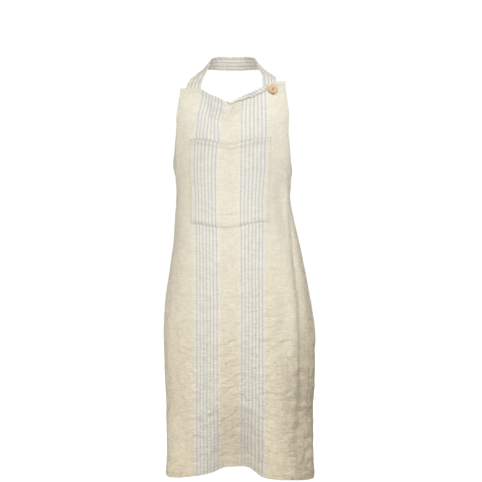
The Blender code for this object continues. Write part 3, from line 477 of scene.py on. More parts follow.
def wrinkle(across, level):
    """Displacement of the cloth along its outward normal."""
    low = 1 - ease(0.10, 0.62, level)
    side = ease(0.02, 0.22, across)
    corner = ease(0.085, 0.150, across) * (1 - ease(0.18, 0.34, level))
    push = (0.0011 * BROAD(across, level) * (0.35 + 0.9 * low)
            * (0.55 + 0.6 * ease(0.04, 0.2, np.abs(across))))
    push += 0.00042 * CROSS(across, level) * (0.35 + 0.7 * low + 1.5 * side * low)
    push += (0.00016 * CRUMPLE(across, level)
             * (0.6 + 0.7 * low + 1.8 * side * low + 2.4 * corner))
    push += 0.00085 * pinch(across, level) * corner
    # pressed-in creases: thin ridges and grooves where a slow field crosses zero
    ridge_a = RIDGE_A(across, level)
    ridge_b = RIDGE_B(across, level)
    push += (0.00062 * bell(ridge_a, 0.16) * ease(0.1, 1.2, ridge_b)
             * (0.35 + 0.9 * low + 0.5 * side))
    push -= (0.00050 * bell(ridge_b, 0.13) * ease(0.2, 1.3, ridge_a)
             * (0.35 + 0.8 * low + 0.5 * side))
    # the bib is pulled smooth between its corners
    push *= 1 - 0.55 * ease(0.775, 0.815, level) * ease(0.10, 0.06, np.abs(across))
    # a soft fold hangs from the neckline through the -X band
    push -= (0.0021 * bell(across + 0.060 - 0.22 * (0.865 - level), 0.0085)
             * ease(0.785, 0.815, level) * ease(0.880, 0.855, level))
    # the slack at +X falls in one deep fold from the tie down, with a softer one beside it
    levels, fold_across, fold_depth, fold_width = DEEP_FOLD
    aside = ((across - np.interp(level, levels, fold_across))
             / np.interp(level, levels, fold_width))
    push -= np.interp(level, levels, fold_depth) * (
        bell(aside) - 0.55 * bell(aside + 1.9, 1.2) - 0.12 * bell(aside - 2.4, 1.2))
    push -= (0.0015 * bell(across - 0.121 - 0.016 * (0.34 - level), 0.0085)
             * ease(0.20, 0.26, level) * ease(0.40, 0.35, level))
    # the -X side hangs straighter: a shallow turn close to the edge
    push -= (0.0012 * bell(across + 0.131 + 0.02 * (level - 0.3), 0.0070)
             * ease(0.10, 0.22, level) * ease(0.58, 0.48, level))
    # the sewn edges are calmer
    inset = np.minimum(half_width(level) - np.abs(across), np.minimum(level, TOP - level + 0.004))
    push *= 0.45 + 0.55 * ease(0.002, 0.030, inset)
    push = push + crease_field(across, level)
    # gathers where the seam line pulls on the skirt hem
    push += (0.0004 * np.sin(2 * np.pi * across / 0.013 + 2 * np.sin(across * 55))
             * bell(level, 0.02))
    return push


# ------------------------------------------------------------------ cloth surface
def sag_offset(across, level):
    """Simulated sag at a fabric point, blended between the simulated panel's vertices."""
    if PANEL_SAG is None:
        return 0.0
    row_count, col_count = PANEL_SAG.shape[:2]
    column = np.clip((across / half_width(level) + 1) / 2, 0, 1) * (col_count - 1)
    row = np.clip(level / TOP, 0, 1) * (row_count - 1)
    i = np.clip(row.astype(int), 0, row_count - 2)
    j = np.clip(column.astype(int), 0, col_count - 2)
    up = (row - i)[..., None]
    over = (column - j)[..., None]
    up = up * up * (3 - 2 * up)
    over = over * over * (3 - 2 * over)
    return (PANEL_SAG[i, j] * (1 - up) * (1 - over) + PANEL_SAG[i + 1, j] * up * (1 - over)
            + PANEL_SAG[i, j + 1] * (1 - up) * over + PANEL_SAG[i + 1, j + 1] * up * over)


def base(across, level):
    """Draped and sagged cloth, without wrinkles."""
    across, level = np.broadcast_arrays(np.asarray(across, float), np.asarray(level, float))
    return place(across, level) + SHIFT + sag_offset(across, level)


def surf(across, level):
    """Middle surface of the wrinkled cloth, before the top hem rolls over."""
    across, level = np.broadcast_arrays(np.asarray(across, float), np.asarray(level, float))
    normal = face_normal(base, across, level, 0.002)
    # where the cloth turns the corner of the body it is stretched smoother
    calm = 0.42 + 0.58 * ease(0.0, 0.45, np.abs(normal[..., 1]))
    return base(across, level) + normal * (wrinkle(across, level) * calm)[..., None]


def surf_normal(across, level):
    return face_normal(surf, across, level, 0.0012)


def off_cloth(across, level, offset):
    """Point at a distance from the wrinkled cloth's middle surface."""
    return surf(across, level) + surf_normal(across, level) * offset


def with_roll(across, level):
    """Cloth points where the top hem turns over to the front along part of the neckline."""
    points = surf(across, level)
    turned = rolled(across)
    past = level - (TOP - turned)
    rolls = (past > 0) & (turned > 0.0008)
    if not rolls.any():
        return points
    across, past, turned = across[rolls], past[rolls], turned[rolls]
    step = 0.003
    fold_level = TOP - turned
    start = surf(across, fold_level)
    axis = unit(surf(across + step, TOP - rolled(across + step))
                - surf(across - step, TOP - rolled(across - step)))
    up = unit((start - surf(across, fold_level - step)) / step)
    slide = (up * axis).sum(-1, keepdims=True) * axis
    rise = up - slide
    normal = unit(np.cross(axis, rise))
    normal *= np.sign((normal * surf_normal(across, fold_level)).sum(-1, keepdims=True))
    rise_length = np.linalg.norm(rise, axis=-1, keepdims=True)
    rise = rise / rise_length
    distance = past * rise_length[..., 0]
    arc_length = np.minimum(distance, ROLL_R * ROLL_ANGLE * ease(0.0, 0.007, turned))
    angle = arc_length / ROLL_R
    cosine, sine = np.cos(angle)[:, None], np.sin(angle)[:, None]
    points[rolls] = (start + rise * (ROLL_R * sine) + normal * (ROLL_R * (1 - cosine))
                     + (rise * cosine + normal * sine) * (distance - arc_length)[:, None]
                     + slide * past[:, None])
    return points


# ------------------------------------------------------------------ mesh builders
def add_object(name, data):
    ob = bpy.data.objects.new(name, data)
    bpy.context.scene.collection.objects.link(ob)
    return ob


def dress(ob, material, carrier, slot, *replaced):
    """Gives a piece its material and tells the frame what it moves with and stands for."""
    ob.data.materials.append(material)
    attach(ob, carrier)
    if replaced:
        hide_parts(*replaced)


# step to the neighbour cell in rows and columns, and the two cell corners of the wall there
WALL_SIDES = ((-1, 0, 1, 0), (1, 0, 3, 2), (0, -1, 0, 3), (0, 1, 2, 1))


def shell(name, middle, normals, out, inner, uv, edge, live=None):
    """Closed cloth shell round a grid of points.

    out and inner are the distances to its two faces; edge holds distance from the edge and
    distance along it; live marks the cells that are cloth.
    """
    row_count, col_count = middle.shape[:2]
    index = np.arange(row_count * col_count).reshape(row_count, col_count)
    if live is None:
        live = np.ones((row_count - 1, col_count - 1), bool)
    r, c = np.nonzero(live)
    face = np.stack([index[r, c], index[r, c + 1], index[r + 1, c + 1], index[r + 1, c]], -1)
    below = row_count * col_count
    padded = np.pad(live, 1)
    walls = []
    for i, j, corners in zip(r, c, face):
        for step_r, step_c, first, second in WALL_SIDES:
            if not padded[i + 1 + step_r, j + 1 + step_c]:
                start, end = corners[first], corners[second]
                walls.append((start, end, end + below, start + below))
    faces = np.concatenate([face, face[:, ::-1] + below, np.array(walls, int).reshape(-1, 4)])
    verts = np.concatenate([(middle + normals * out[..., None]).reshape(-1, 3),
                            (middle - normals * inner[..., None]).reshape(-1, 3)])
    used = np.zeros(len(verts), bool)
    used[faces.ravel()] = True
    faces = (np.cumsum(used) - 1)[faces]
    verts = verts[used]
    mesh = bpy.data.meshes.new(name)
    mesh.vertices.add(len(verts))
    mesh.vertices.foreach_set("co", verts.astype(np.float32).ravel())
    mesh.loops.add(faces.size)
    mesh.loops.foreach_set("vertex_index", faces.astype(np.int32).ravel())
    mesh.polygons.add(len(faces))
    mesh.polygons.foreach_set("loop_start", np.arange(0, faces.size, 4, dtype=np.int32))
    mesh.update(calc_edges=True)
    mesh.validate()
    mesh.shade_smooth()
    if len(mesh.polygons) != len(faces):
        raise RuntimeError(name + ": faces lost")
    for label, data in (("UVMap", uv), ("Edge", edge)):
        flat = np.concatenate([data.reshape(-1, 2), data.reshape(-1, 2)])[used]
        layer = mesh.uv_layers.new(name=label)
        layer.data.foreach_set("uv", flat[faces.ravel()].astype(np.float32).ravel())
    return add_object(name, mesh)


def grid_normals(points):
    return unit(np.cross(np.gradient(points, axis=1), np.gradient(points, axis=0)))


def mesh_from(name, verts, faces):
    mesh = bpy.data.meshes.new(name)
    mesh.from_pydata([tuple(vert) for vert in verts], [], [tuple(face) for face in faces])
    mesh.update()
    mesh.shade_smooth()
    return add_object(name, mesh)


def tube_faces(rings, sides):
    """Faces of a capped tube whose vertices come ring by ring."""
    faces = []
    for i in range(rings - 1):
        for q in range(sides):
            after = (q + 1) % sides
            faces.append((i * sides + q, i * sides + after,
                          (i + 1) * sides + after, (i + 1) * sides + q))
    faces.append(tuple(reversed(range(sides))))
    faces.append(tuple(range((rings - 1) * sides, rings * sides)))
    return faces


# one stitch: share of its length, share of its radius, height above its line
STITCH_PROFILE = [(-0.04, 0.35, -1.2), (0.03, 0.85, -0.5), (0.22, 1.0, 0.05), (0.5, 1.05, 0.35),
                  (0.78, 1.0, 0.05), (0.97, 0.85, -0.5), (1.04, 0.35, -1.2)]


def capsules(name, starts, ends, normals, radius, sides=6, sink=0.4):
    """Short stitches: bent capsules lying proud along the normals and diving in at both ends."""
    run = ends - starts
    along = unit(run)
    side = unit(np.cross(along, normals))
    up = np.cross(side, along)
    verts = []
    for share, thickness, lift in STITCH_PROFILE:
        centre = starts + run * share + up * (radius * lift * sink * 2)
        for q in range(sides):
            angle = 2 * np.pi * q / sides
            verts.append(centre + (side * math.cos(angle) + up * math.sin(angle))
                         * (radius * thickness))
    one = tube_faces(len(STITCH_PROFILE), sides)
    size = len(STITCH_PROFILE) * sides
    faces = [tuple(corner + k * size for corner in face)
             for k in range(len(starts)) for face in one]
    return mesh_from(name, np.stack(verts, 1).reshape(-1, 3), faces)


def seam(name, replaced, across, level, offset, seed, surface=surf, material=None,
         pitch=0.0033, radius=0.00030, fill=0.80, jitter=0.00012):
    """A row of stitches along a fabric path."""
    lengths = path_lengths(surface(across, level))
    count = max(2, int(lengths[-1] / pitch))
    step = lengths[-1] / count
    begin = np.arange(count) * step
    nudge = np.random.default_rng(seed).normal(0, jitter, (count, 2))

    def above(distance):
        at_across = np.interp(distance, lengths, across)
        at_level = np.interp(distance, lengths, level)
        normal = surf_normal(at_across, at_level)
        return surface(at_across, at_level) + normal * offset, normal
    starts, start_normals = above(begin + step * (1 - fill) / 2 + nudge[:, 0])
    ends, end_normals = above(begin + step * (1 + fill) / 2 + nudge[:, 1])
    ob = capsules(name, starts, ends, unit(start_normals + end_normals), radius)
    dress(ob, material or M_THREAD, "apron", "thread_cotton", replaced)


def satin(name, replaced, across, level, reach_across, reach_up, offset, material,
          surface=surf, radius=0.00033):
    """Close-packed stitches, each reaching to both sides of its point."""
    normal = surf_normal(across, level)
    starts = surface(across - reach_across, level - reach_up) + normal * offset
    ends = surface(across + reach_across, level + reach_up) + normal * offset
    ob = capsules(name, starts, ends, normal, radius, sink=0.25)
    dress(ob, material, "apron", "thread_cotton", replaced)


def tape_rows(name, rows, radius):
    """Stitches on both faces of a tape; rows hold stitch stops, distances, points, normals."""
    gap, lift = 0.0004, 0.00052
    parts = []
    for stops, distances, points, normals in rows:
        begin, finish = stops[:-1] + gap, stops[1:] - gap
        starts = interp3(begin, distances, points)
        ends = interp3(finish, distances, points)
        facing = unit(interp3((begin + finish) / 2, distances, normals))
        for face in (1, -1):
            normal = facing * face
            parts.append((starts + normal * lift, ends + normal * lift, normal))
    return capsules(name, *(np.concatenate(part) for part in zip(*parts)), radius)


def box_path(corners, steps):
    """Points along the straight lines between corners, as two arrays."""
    share = np.linspace(0, 1, steps)
    return [np.concatenate([start[axis] + (end[axis] - start[axis]) * share
                            for start, end in zip(corners, corners[1:])]) for axis in (0, 1)]


# ------------------------------------------------------------------ material graph
class Signal:
    """An output socket; arithmetic on it adds Math nodes."""

    def __init__(self, graph, socket):
        self.graph = graph
        self.socket = socket

    def math(self, operation, *others):
        return self.graph.math(operation, self, *others)

    def step(self, low, high):
        """Smooth step from 0 at low to 1 at high."""
        node = self.graph.node("ShaderNodeMapRange",
                               {"Value": self, "From Min": low, "From Max": high})
        node.interpolation_type = "SMOOTHSTEP"
        return Signal(self.graph, node.outputs["Result"])

    def __add__(self, other):
        return self.math("ADD", other)

    def __radd__(self, other):
        return self.graph.math("ADD", other, self)

    def __sub__(self, other):
        return self.math("SUBTRACT", other)

    def __rsub__(self, other):
        return self.graph.math("SUBTRACT", other, self)

    def __mul__(self, other):
        return self.math("MULTIPLY", other)

    def __rmul__(self, other):
        return self.graph.math("MULTIPLY", other, self)

    def __truediv__(self, other):
        return self.math("DIVIDE", other)

    def __abs__(self):
        return self.math("ABSOLUTE")


class Graph:
    """Builds nodes in a tree; inputs may be numbers, colours or Signals."""

    def __init__(self, tree):
        self.tree = tree

    def put(self, socket, value):
        if isinstance(value, Signal):
            self.tree.links.new(value.socket, socket)
        elif isinstance(value, tuple) and len(value) == 3 and socket.type == "RGBA":
            socket.default_value = (*value, 1)
        elif value is not None:
            socket.default_value = value

    def fill(self, node, inputs):
        for key, value in inputs.items():
            self.put(node.inputs[key], value)

    def node(self, kind, inputs):
        node = self.tree.nodes.new(kind)
        self.fill(node, inputs)
        return node

    def signal(self, kind, inputs, output=0):
        return Signal(self, self.node(kind, inputs).outputs[output])

    def math(self, operation, *values):
        node = self.node("ShaderNodeMath", dict(enumerate(values)))
        node.operation = operation
        return Signal(self, node.outputs[0])

    def uv(self, name):
        node = self.node("ShaderNodeUVMap", {})
        node.uv_map = name
        return Signal(self, node.outputs[0])

    def position(self):
        return self.signal("ShaderNodeTexCoord", {}, "Object")

    def split(self, vector):
        outputs = self.node("ShaderNodeSeparateXYZ", {0: vector}).outputs
        return [Signal(self, socket) for socket in outputs]

    def scale(self, vector, factors, offset=(0, 0, 0)):
        node = self.node("ShaderNodeVectorMath", {})
        node.operation = "MULTIPLY_ADD"
        self.fill(node, {0: vector, 1: factors, 2: offset})
        return Signal(self, node.outputs[0])

    def noise(self, vector, stretch=None, offset=(0, 0, 0), scale=1.0, detail=2.0, rough=0.5,
              distort=0.0):
        if stretch:
            vector = self.scale(vector, stretch, offset)
        return self.signal("ShaderNodeTexNoise", {
            "Vector": vector, "Scale": scale, "Detail": detail, "Roughness": rough,
            "Distortion": distort})

    def ridges(self, vector, stretch, offset, detail):
        vector = self.scale(vector, stretch, offset)
        node = self.node("ShaderNodeTexNoise", {})
        node.noise_type = "RIDGED_MULTIFRACTAL"
        node.normalize = False
        self.fill(node, {"Vector": vector, "Scale": 1.0, "Detail": detail, "Roughness": 0.55,
                         "Offset": 1.0, "Gain": 1.6})
        return Signal(self, node.outputs[0])

    def mix(self, factor, first, second, mode="MIX"):
        node = self.node("ShaderNodeMix", {})
        node.data_type = "RGBA"
        node.blend_type = mode
        self.fill(node, {"Factor": factor, 6: first, 7: second})
        return Signal(self, node.outputs[2])

    def bump(self, relief, distance, strength, normal=None):
        return self.signal("ShaderNodeBump", {
            "Distance": distance, "Strength": strength, "Height": relief, "Normal": normal})


class Material(Graph):
    """A graph that ends in a Principled surface."""

    def __init__(self, name):
        self.mat = bpy.data.materials.new(name)
        self.mat.use_nodes = True
        super().__init__(self.mat.node_tree)
        self.surface = self.tree.nodes["Principled BSDF"]

    def finish(self, inputs):
        self.fill(self.surface, inputs)
        return self.mat


def scaled(colour, *factors):
    return tuple(part * factor for part, factor in zip(colour, factors))


# ------------------------------------------------------------------ linen
LINE_PITCH = 0.00772       # woven lines are this far apart
LINE_IN = 0.0273           # first line of each band from the centre line
LINE_W = 0.00120           # half width of one line
LINE_FADE = (0.8, 1.55)    # a line's edge fades between these shares of its half width
NATURAL = (0.785, 0.735, 0.615)


def band_masks(graph, uv, across):
    """Lines and pale ground of the two bands, each of seven lines."""
    place_in_band = (abs(across) - LINE_IN) / LINE_PITCH
    right_band = across.math("GREATER_THAN", 0.0)
    ragged = (graph.noise(uv, (60, 900, 1), detail=1) - 0.5) * 0.10
    place_in_band = place_in_band + ragged
    near = abs(place_in_band - place_in_band.math("ROUND"))
    inside = place_in_band.step(-0.50, -0.40) * (1.0 - place_in_band.step(6.40, 6.50))
    ground = place_in_band.step(-1.1, -0.75) * (1.0 - place_in_band.step(6.75, 7.1))
    line_share = LINE_W / LINE_PITCH
    lines = (1.0 - near.step(*(line_share * fade for fade in LINE_FADE))) * inside
    # some lines are woven a little heavier, and the two bands differ slightly
    number = place_in_band.math("ROUND")
    heavy = 0.93 + 0.07 * (number * 2.4 + right_band * 1.3).math("SINE")
    return lines * heavy, ground


def tape_masks(across, places):
    """Lines at the given places across a tape, and the pale ground they stand on."""
    lines = None
    for x in places:
        line = 1.0 - abs(across - x).step(*(LINE_W * fade for fade in LINE_FADE))
        lines = line if lines is None else lines.math("MAXIMUM", line)
    return lines, 1.0 - across.step(max(places) + 0.0052, max(places) + 0.0062)


def linen(name, shift=(0.0, 0.0), pale=(0.792, 0.778, 0.714), bands=False, lines=None,
          edge=True, rim_shadow=False, depth=1.0):
    """Plain-weave linen; UVMap holds metres across and along the cloth.

    bands draws the two striped bands; lines are places across a narrow striped tape; edge adds
    puckers and darker edge and seam lines from the Edge map, and patch a painted shadow line
    along the pocket's rim; depth scales the surface relief.
    """
    graph = Material(name)
    uv = graph.scale(graph.uv("UVMap"), (1, 1, 0), (shift[0], shift[1], 0))
    across, level, _ = graph.split(uv)
    # uneven yarn: fine streaks along both thread directions, and flecks a few threads wide
    warp = graph.noise(uv, (900, 34, 1), detail=3, rough=0.65)
    weft = graph.noise(uv, (30, 860, 1), (3.1, 7.7, 0), detail=3, rough=0.65)
    weft_wide = graph.noise(uv, (62, 330, 1), (11.3, 2.9, 0), detail=3, rough=0.62)
    warp_wide = graph.noise(uv, (330, 26, 1), (5.3, 1.9, 0), detail=2, rough=0.55)
    cloud = graph.noise(uv, (9, 7, 1), (1.7, 4.1, 0), detail=4, rough=0.6)
    mottle = graph.noise(uv, (230, 270, 1), (8.2, 3.3, 0), detail=3, rough=0.70)
    # slubs: short thick stretches of yarn
    slub_weft = graph.noise(uv, (70, 640, 1), (2.2, 9.1, 0), detail=1, rough=0.4).step(0.66, 0.80)
    slub_warp = graph.noise(uv, (680, 60, 1), (6.6, 0.4, 0), detail=1, rough=0.4).step(0.70, 0.82)
    fleck = graph.noise(uv, (420, 560, 1), (4.4, 4.9, 0), detail=2, rough=0.5).step(0.68, 0.80)

    # ground colour; the banded cloth is warmer and yellower towards the skirt
    ground_colour = scaled(NATURAL, 1.0, 1.030, 1.070)
    if bands:
        toward_bib = (level - shift[1]).step(0.02, 0.84)
        ground_colour = graph.mix(toward_bib, scaled(NATURAL, 1.0, 0.966, 0.922), ground_colour)
        pale = graph.mix(toward_bib, scaled(pale, 1.0, 0.988, 0.970), scaled(pale, 1.0, 1.010, 1.025))
    colour = graph.mix(cloud.step(0.30, 0.72) * 0.5, ground_colour,
                       graph.mix(1.0, ground_colour, (1.05, 1.045, 1.03), "MULTIPLY"))
    if bands or lines:
        if bands:
            core, ground = band_masks(graph, uv, across)
        else:
            core, ground = tape_masks(across, lines)
        # white warp between the lines, grey lines with natural weft showing through
        colour = graph.mix(ground * 0.92, colour, pale)
        thin = 0.62 + 0.55 * graph.noise(uv, (40, 1300, 1), detail=2, rough=0.6)
        colour = graph.mix(core * thin.math("MINIMUM", 0.95), colour, (0.595, 0.583, 0.585))

    # creases set by washing and folding: thin ridges that wander and fork
    value = (warp - 0.5) * 0.20 + (weft - 0.5) * 0.26
    wander = graph.noise(uv, (14, 14, 1), (7.7, 1.3, 0), detail=2, rough=0.5)
    warped = graph.signal("ShaderNodeCombineXYZ",
                          {0: across + wander * 0.030, 1: level + wander * -0.022})
    long_creases = graph.ridges(warped, (19, 34, 1), (0.7, 3.1, 0), detail=3)
    short_creases = graph.ridges(warped, (46, 25, 1), (5.7, 8.3, 0), detail=2)
    crease_share = 0.35 + 0.85 * (1.0 - (level - shift[1]).step(0.08, 0.66))

    # brightness of the yarn, stronger low on the skirt: yarn texture plus painted shade of the
    # cloth's relief
    mottle_contrast = 0.26 + 0.22 * (1.0 - level.step(0.05, 0.62))
    value = value + (weft_wide - 0.5) * mottle_contrast
    value = value + (warp_wide - 0.5) * 0.13
    value = value + (mottle - 0.5) * (mottle_contrast * 1.05)
    value = value + slub_weft * -0.040
    value = value + slub_warp * -0.025
    if bands:
        # painted shade: darker towards the low +X corner and past the deep fold
        painted_corner_shade = across.step(0.085, 0.175) * (1.0 - (level - shift[1]).step(0.16, 0.40))
        value = value + painted_corner_shade * -0.215
        # painted shade darkens the creases, more so in the low +X corner
        value = value + (long_creases.step(0.75, 1.6) * (painted_corner_shade + 0.30)) * -0.085
        value = value + (short_creases.step(0.75, 1.6) * (painted_corner_shade + 0.20)) * -0.065
        # painted shade on the cloth past the deep fold, where it turns away
        past = across.step(0.157, 0.186) * (level.step(0.16, 0.32) * (1.0 - level.step(0.60, 0.68)))
        value = value + past * -0.140
        # the painted shade there is tinted warmer
        colour = graph.mix((painted_corner_shade + past) * 0.85, colour,
                           graph.mix(1.0, colour, (1.0, 0.972, 0.925), "MULTIPLY"))
    colour = graph.signal("ShaderNodeHueSaturation", {"Color": colour, "Value": 1.0 + value})
    colour = graph.mix(fleck * 0.16, colour, (0.52, 0.43, 0.29))
    colour = graph.mix(slub_weft * 0.08, colour, (0.66, 0.57, 0.40))

    # relief, finest first: threads, grain, crumple, creases
    warp_wave = ((across + (warp - 0.5) * 0.0006) * (2 * math.pi / 0.00128)).math("SINE")
    weft_wave = ((level + (weft - 0.5) * 0.0006) * (2 * math.pi / 0.00118)).math("SINE")
    weave = 0.5 * (warp_wave * weft_wave) + 0.22 * (warp_wave + weft_wave)
    threads = weave * 0.30 + (weft * 0.9 + warp * 0.6)
    threads = threads + (slub_weft + slub_warp) * 0.75
    normal = graph.bump(threads, distance=0.00026 * depth, strength=0.75)
    grain = weft_wide * 0.75 + mottle * 0.55
    grain = grain * (1.0 + 0.9 * (1.0 - level.step(0.05, 0.60)))
    normal = graph.bump(grain, distance=0.0018 * depth, strength=0.90, normal=normal)
    crumple = graph.noise(uv, (75, 95, 1), (0.3, 9.9, 0), detail=4, rough=0.60, distort=0.5)
    normal = graph.bump(crumple, distance=0.0022 * depth, strength=0.70, normal=normal)
    normal = graph.bump((long_creases + short_creases * 0.6) * crease_share,
                        distance=0.0022 * depth, strength=0.85, normal=normal)
    if edge:
        inset, along, _ = graph.split(graph.uv("Edge"))
        # puckers along the seam
        zone = inset.step(0.0, 0.003) * (1.0 - inset.step(0.011, 0.017))
        pucker = (along * (2 * math.pi / 0.0068) + 6.0 * graph.noise(uv, (60, 60, 1))).math("SINE")
        normal = graph.bump(pucker * zone, distance=0.00045, strength=0.8, normal=normal)
        if rim_shadow:
            # painted shadow: a dark line along the pocket's edge
            rim = inset.step(0.0058, 0.0063) * (1.0 - inset.step(0.0067, 0.0074))
            colour = graph.mix(rim * 0.55, colour, (0.50, 0.44, 0.34))
        # darker cut edge, and a faint line along the seam
        colour = graph.mix((1.0 - inset.step(0.0, 0.0016)) * 0.22, colour, (0.52, 0.45, 0.31))
        from_line = abs(inset - 0.0098)
        colour = graph.mix((1.0 - from_line.step(0.0002, 0.0014)) * 0.16, colour,
                           (0.46, 0.39, 0.26))
    return graph.finish({
        "Base Color": colour, "Roughness": 0.82 + mottle * 0.16, "Normal": normal,
        "Specular IOR Level": 0.18, "Sheen Weight": 0.12, "Sheen Roughness": 0.45,
        "Sheen Tint": (1.0, 0.97, 0.90)})


# ------------------------------------------------------------------ thread and wood
def thread_material(name, colour):
    graph = Material(name)
    position = graph.position()
    fibre = graph.noise(position, scale=2600)
    blotch = graph.noise(position, scale=160)
    shade = graph.mix(fibre, tuple(part * 0.72 for part in colour),
                      tuple(min(1, part * 1.18) for part in colour))
    shade = graph.mix(blotch * 0.35, shade, tuple(part * 0.8 for part in colour))
    return graph.finish({
        "Base Color": shade, "Roughness": 0.67 + fibre * 0.16,
        "Normal": graph.bump(fibre, distance=0.00012, strength=0.8),
        "Specular IOR Level": 0.25})


def wood_material(name):
    graph = Material(name)
    position = graph.position()
    x, y, _ = graph.split(position)
    # straight grain running across the disc, with pores and a few darker growth lines
    bend = graph.noise(position, (160, 40, 60), detail=3, rough=0.6)
    grain = graph.noise(position, (1500, 90, 700), (1.3, 0.2, 0.9), detail=5, rough=0.62,
                        distort=0.4)
    growth = (x * 2100.0 + bend * 9.0).math("SINE").step(0.15, 1.0)
    pores = graph.noise(position, (4200, 420, 2000), (5, 5, 5), detail=1, rough=0.4)
    pores = pores.step(0.66, 0.74)
    colour = graph.mix(grain, (0.665, 0.430, 0.225), (0.765, 0.555, 0.335))
    colour = graph.mix(growth * 0.30, colour, (0.640, 0.390, 0.195))
    colour = graph.mix(pores * 0.45, colour, (0.480, 0.270, 0.130))
    radius = (x * x + y * y).math("SQRT")
    # the rim is a little darker, and the dish round the holes has picked up a trace of dirt
    colour = graph.mix(radius.step(0.0088, 0.0110) * 0.30, colour, (0.700, 0.440, 0.240))
    colour = graph.mix((1.0 - radius.step(0.0012, 0.0048)) * 0.22, colour, (0.560, 0.330, 0.170))
    # painted shade: the drilled holes are darkened inside
    for hole_x, hole_y, hole_r in HOLES:
        off_x = x - hole_x
        off_y = y - hole_y
        away = (off_x * off_x + off_y * off_y).math("SQRT")
        colour = graph.mix((1.0 - away.step(hole_r, hole_r + 0.0003)) * 0.90, colour,
                           (0.105, 0.060, 0.030))
    roughness = 0.38 + grain * 0.22
    turning = (radius * 9500.0).math("SINE")
    relief = (grain * 0.6 + turning * 0.10) + pores * -0.8
    return graph.finish({
        "Base Color": colour, "Roughness": roughness,
        "Normal": graph.bump(relief, distance=0.00010, strength=0.7),
        "Specular IOR Level": 0.35, "Coat Weight": 0.10, "Coat Roughness": 0.35})


M_BODY = linen("linen_body", bands=True)
M_POCKET = linen("linen_pocket", bands=True, shift=(0.0016, 0.37), rim_shadow=True)
# painted light: the strap's pale ground is a little lighter than the body's
M_STRAP = linen("linen_strap", lines=(-0.0108, -0.0025, 0.0058), pale=(0.812, 0.790, 0.716),
                shift=(0, 0.2), depth=0.45)
M_TIE = linen("linen_tie", shift=(0.31, 0.55), depth=0.7)
M_BOW = linen("linen_bow", shift=(0.52, 0.15), depth=0.7)
M_TAIL = linen("linen_tail", shift=(0.72, 0.85), depth=0.7)
M_KNOT = linen("linen_knot", shift=(0.92, 0.35), edge=False)
M_THREAD = thread_material("seam_thread", (0.76, 0.70, 0.56))
M_TACK = thread_material("tack_thread", (0.74, 0.68, 0.53))
M_HOLE = thread_material("buttonhole_thread", (0.72, 0.66, 0.51))
M_BUTTON_THREAD = thread_material("button_thread", (0.23, 0.13, 0.07))
M_WOOD = wood_material("button_wood")


# ------------------------------------------------------------------ simulated sag of the panel
SIM_ROWS, SIM_COLUMNS = 92, 75
SIM_FRAMES = 45
SAG_LIMIT = 0.0075         # how far a point of the cloth may move
FORM_INSET = 0.006         # the form is drawn in from the drape by this much
FORM_DIP = ([0.0, 0.08, 0.18, 0.30, 0.42, 0.9], [0.060, 0.046, 0.028, 0.010, 0.002, 0.002])
CLOTH_SETTINGS = dict(
    quality=6, mass=0.12, air_damping=3.0, tension_stiffness=18, compression_stiffness=14,
    shear_stiffness=6, bending_stiffness=0.35, tension_damping=12, compression_damping=12,
    shear_damping=8, bending_damping=0.6, vertex_group_mass="hold", pin_stiffness=0.9,
    shrink_min=-0.030)


def hold_weights(across, level):
    """Pinning: strap and tie corners fully, the neckline mostly, the rest by a light pull."""
    hold = np.full(across.shape, 0.020)
    hold += 0.10 * ease(0.66, 0.80, level)
    hold += 0.55 * ease(TOP - 0.030, TOP - 0.004, level)
    for strap_across in (STRAP_LEFT, STRAP_RIGHT):
        hold += 0.8 * np.exp(-((across - strap_across) / 0.022) ** 2
                             - ((level - TOP) / 0.03) ** 2)
    for sign in (-1, 1):
        hold += 1.0 * np.exp(-((across - sign * W_WAIST) / 0.030) ** 2
                             - ((level - WAIST) / 0.028) ** 2)
    hold += 0.10 * bell(level, 0.03)
    return np.clip(hold, 0, 1)


def make_form():
    """The form under the cloth: the body sections without the folds, drawn in slightly."""
    angle = np.linspace(-np.pi, np.pi, 73)[:-1]
    rings = []
    for z in np.linspace(0.0, 0.90, 46):
        x, y = body_outline(angle, *section_at(z)[:5])
        radius = np.hypot(x, y)
        x = x * (1 - FORM_INSET / radius)
        y = y * (1 - FORM_INSET / radius)
        y = np.where(np.cos(angle) >= 0, np.minimum(y + curve(*FORM_DIP, z), 0.0), y)
        rings.append(np.stack([x, y, np.full_like(x, z)], -1) + SHIFT)
    rings = np.array(rings)
    index = np.arange(rings.shape[0] * rings.shape[1]).reshape(rings.shape[:2])
    beside = np.roll(index, -1, 1)
    quads = np.stack([index[:-1], beside[:-1], beside[1:], index[1:]], -1).reshape(-1, 4)
    form = mesh_from("sim_form", rings.reshape(-1, 3), quads)
    form.modifiers.new("collision", "COLLISION")
    form.collision.thickness_outer = 0.002
    form.collision.cloth_friction = 8
    return form


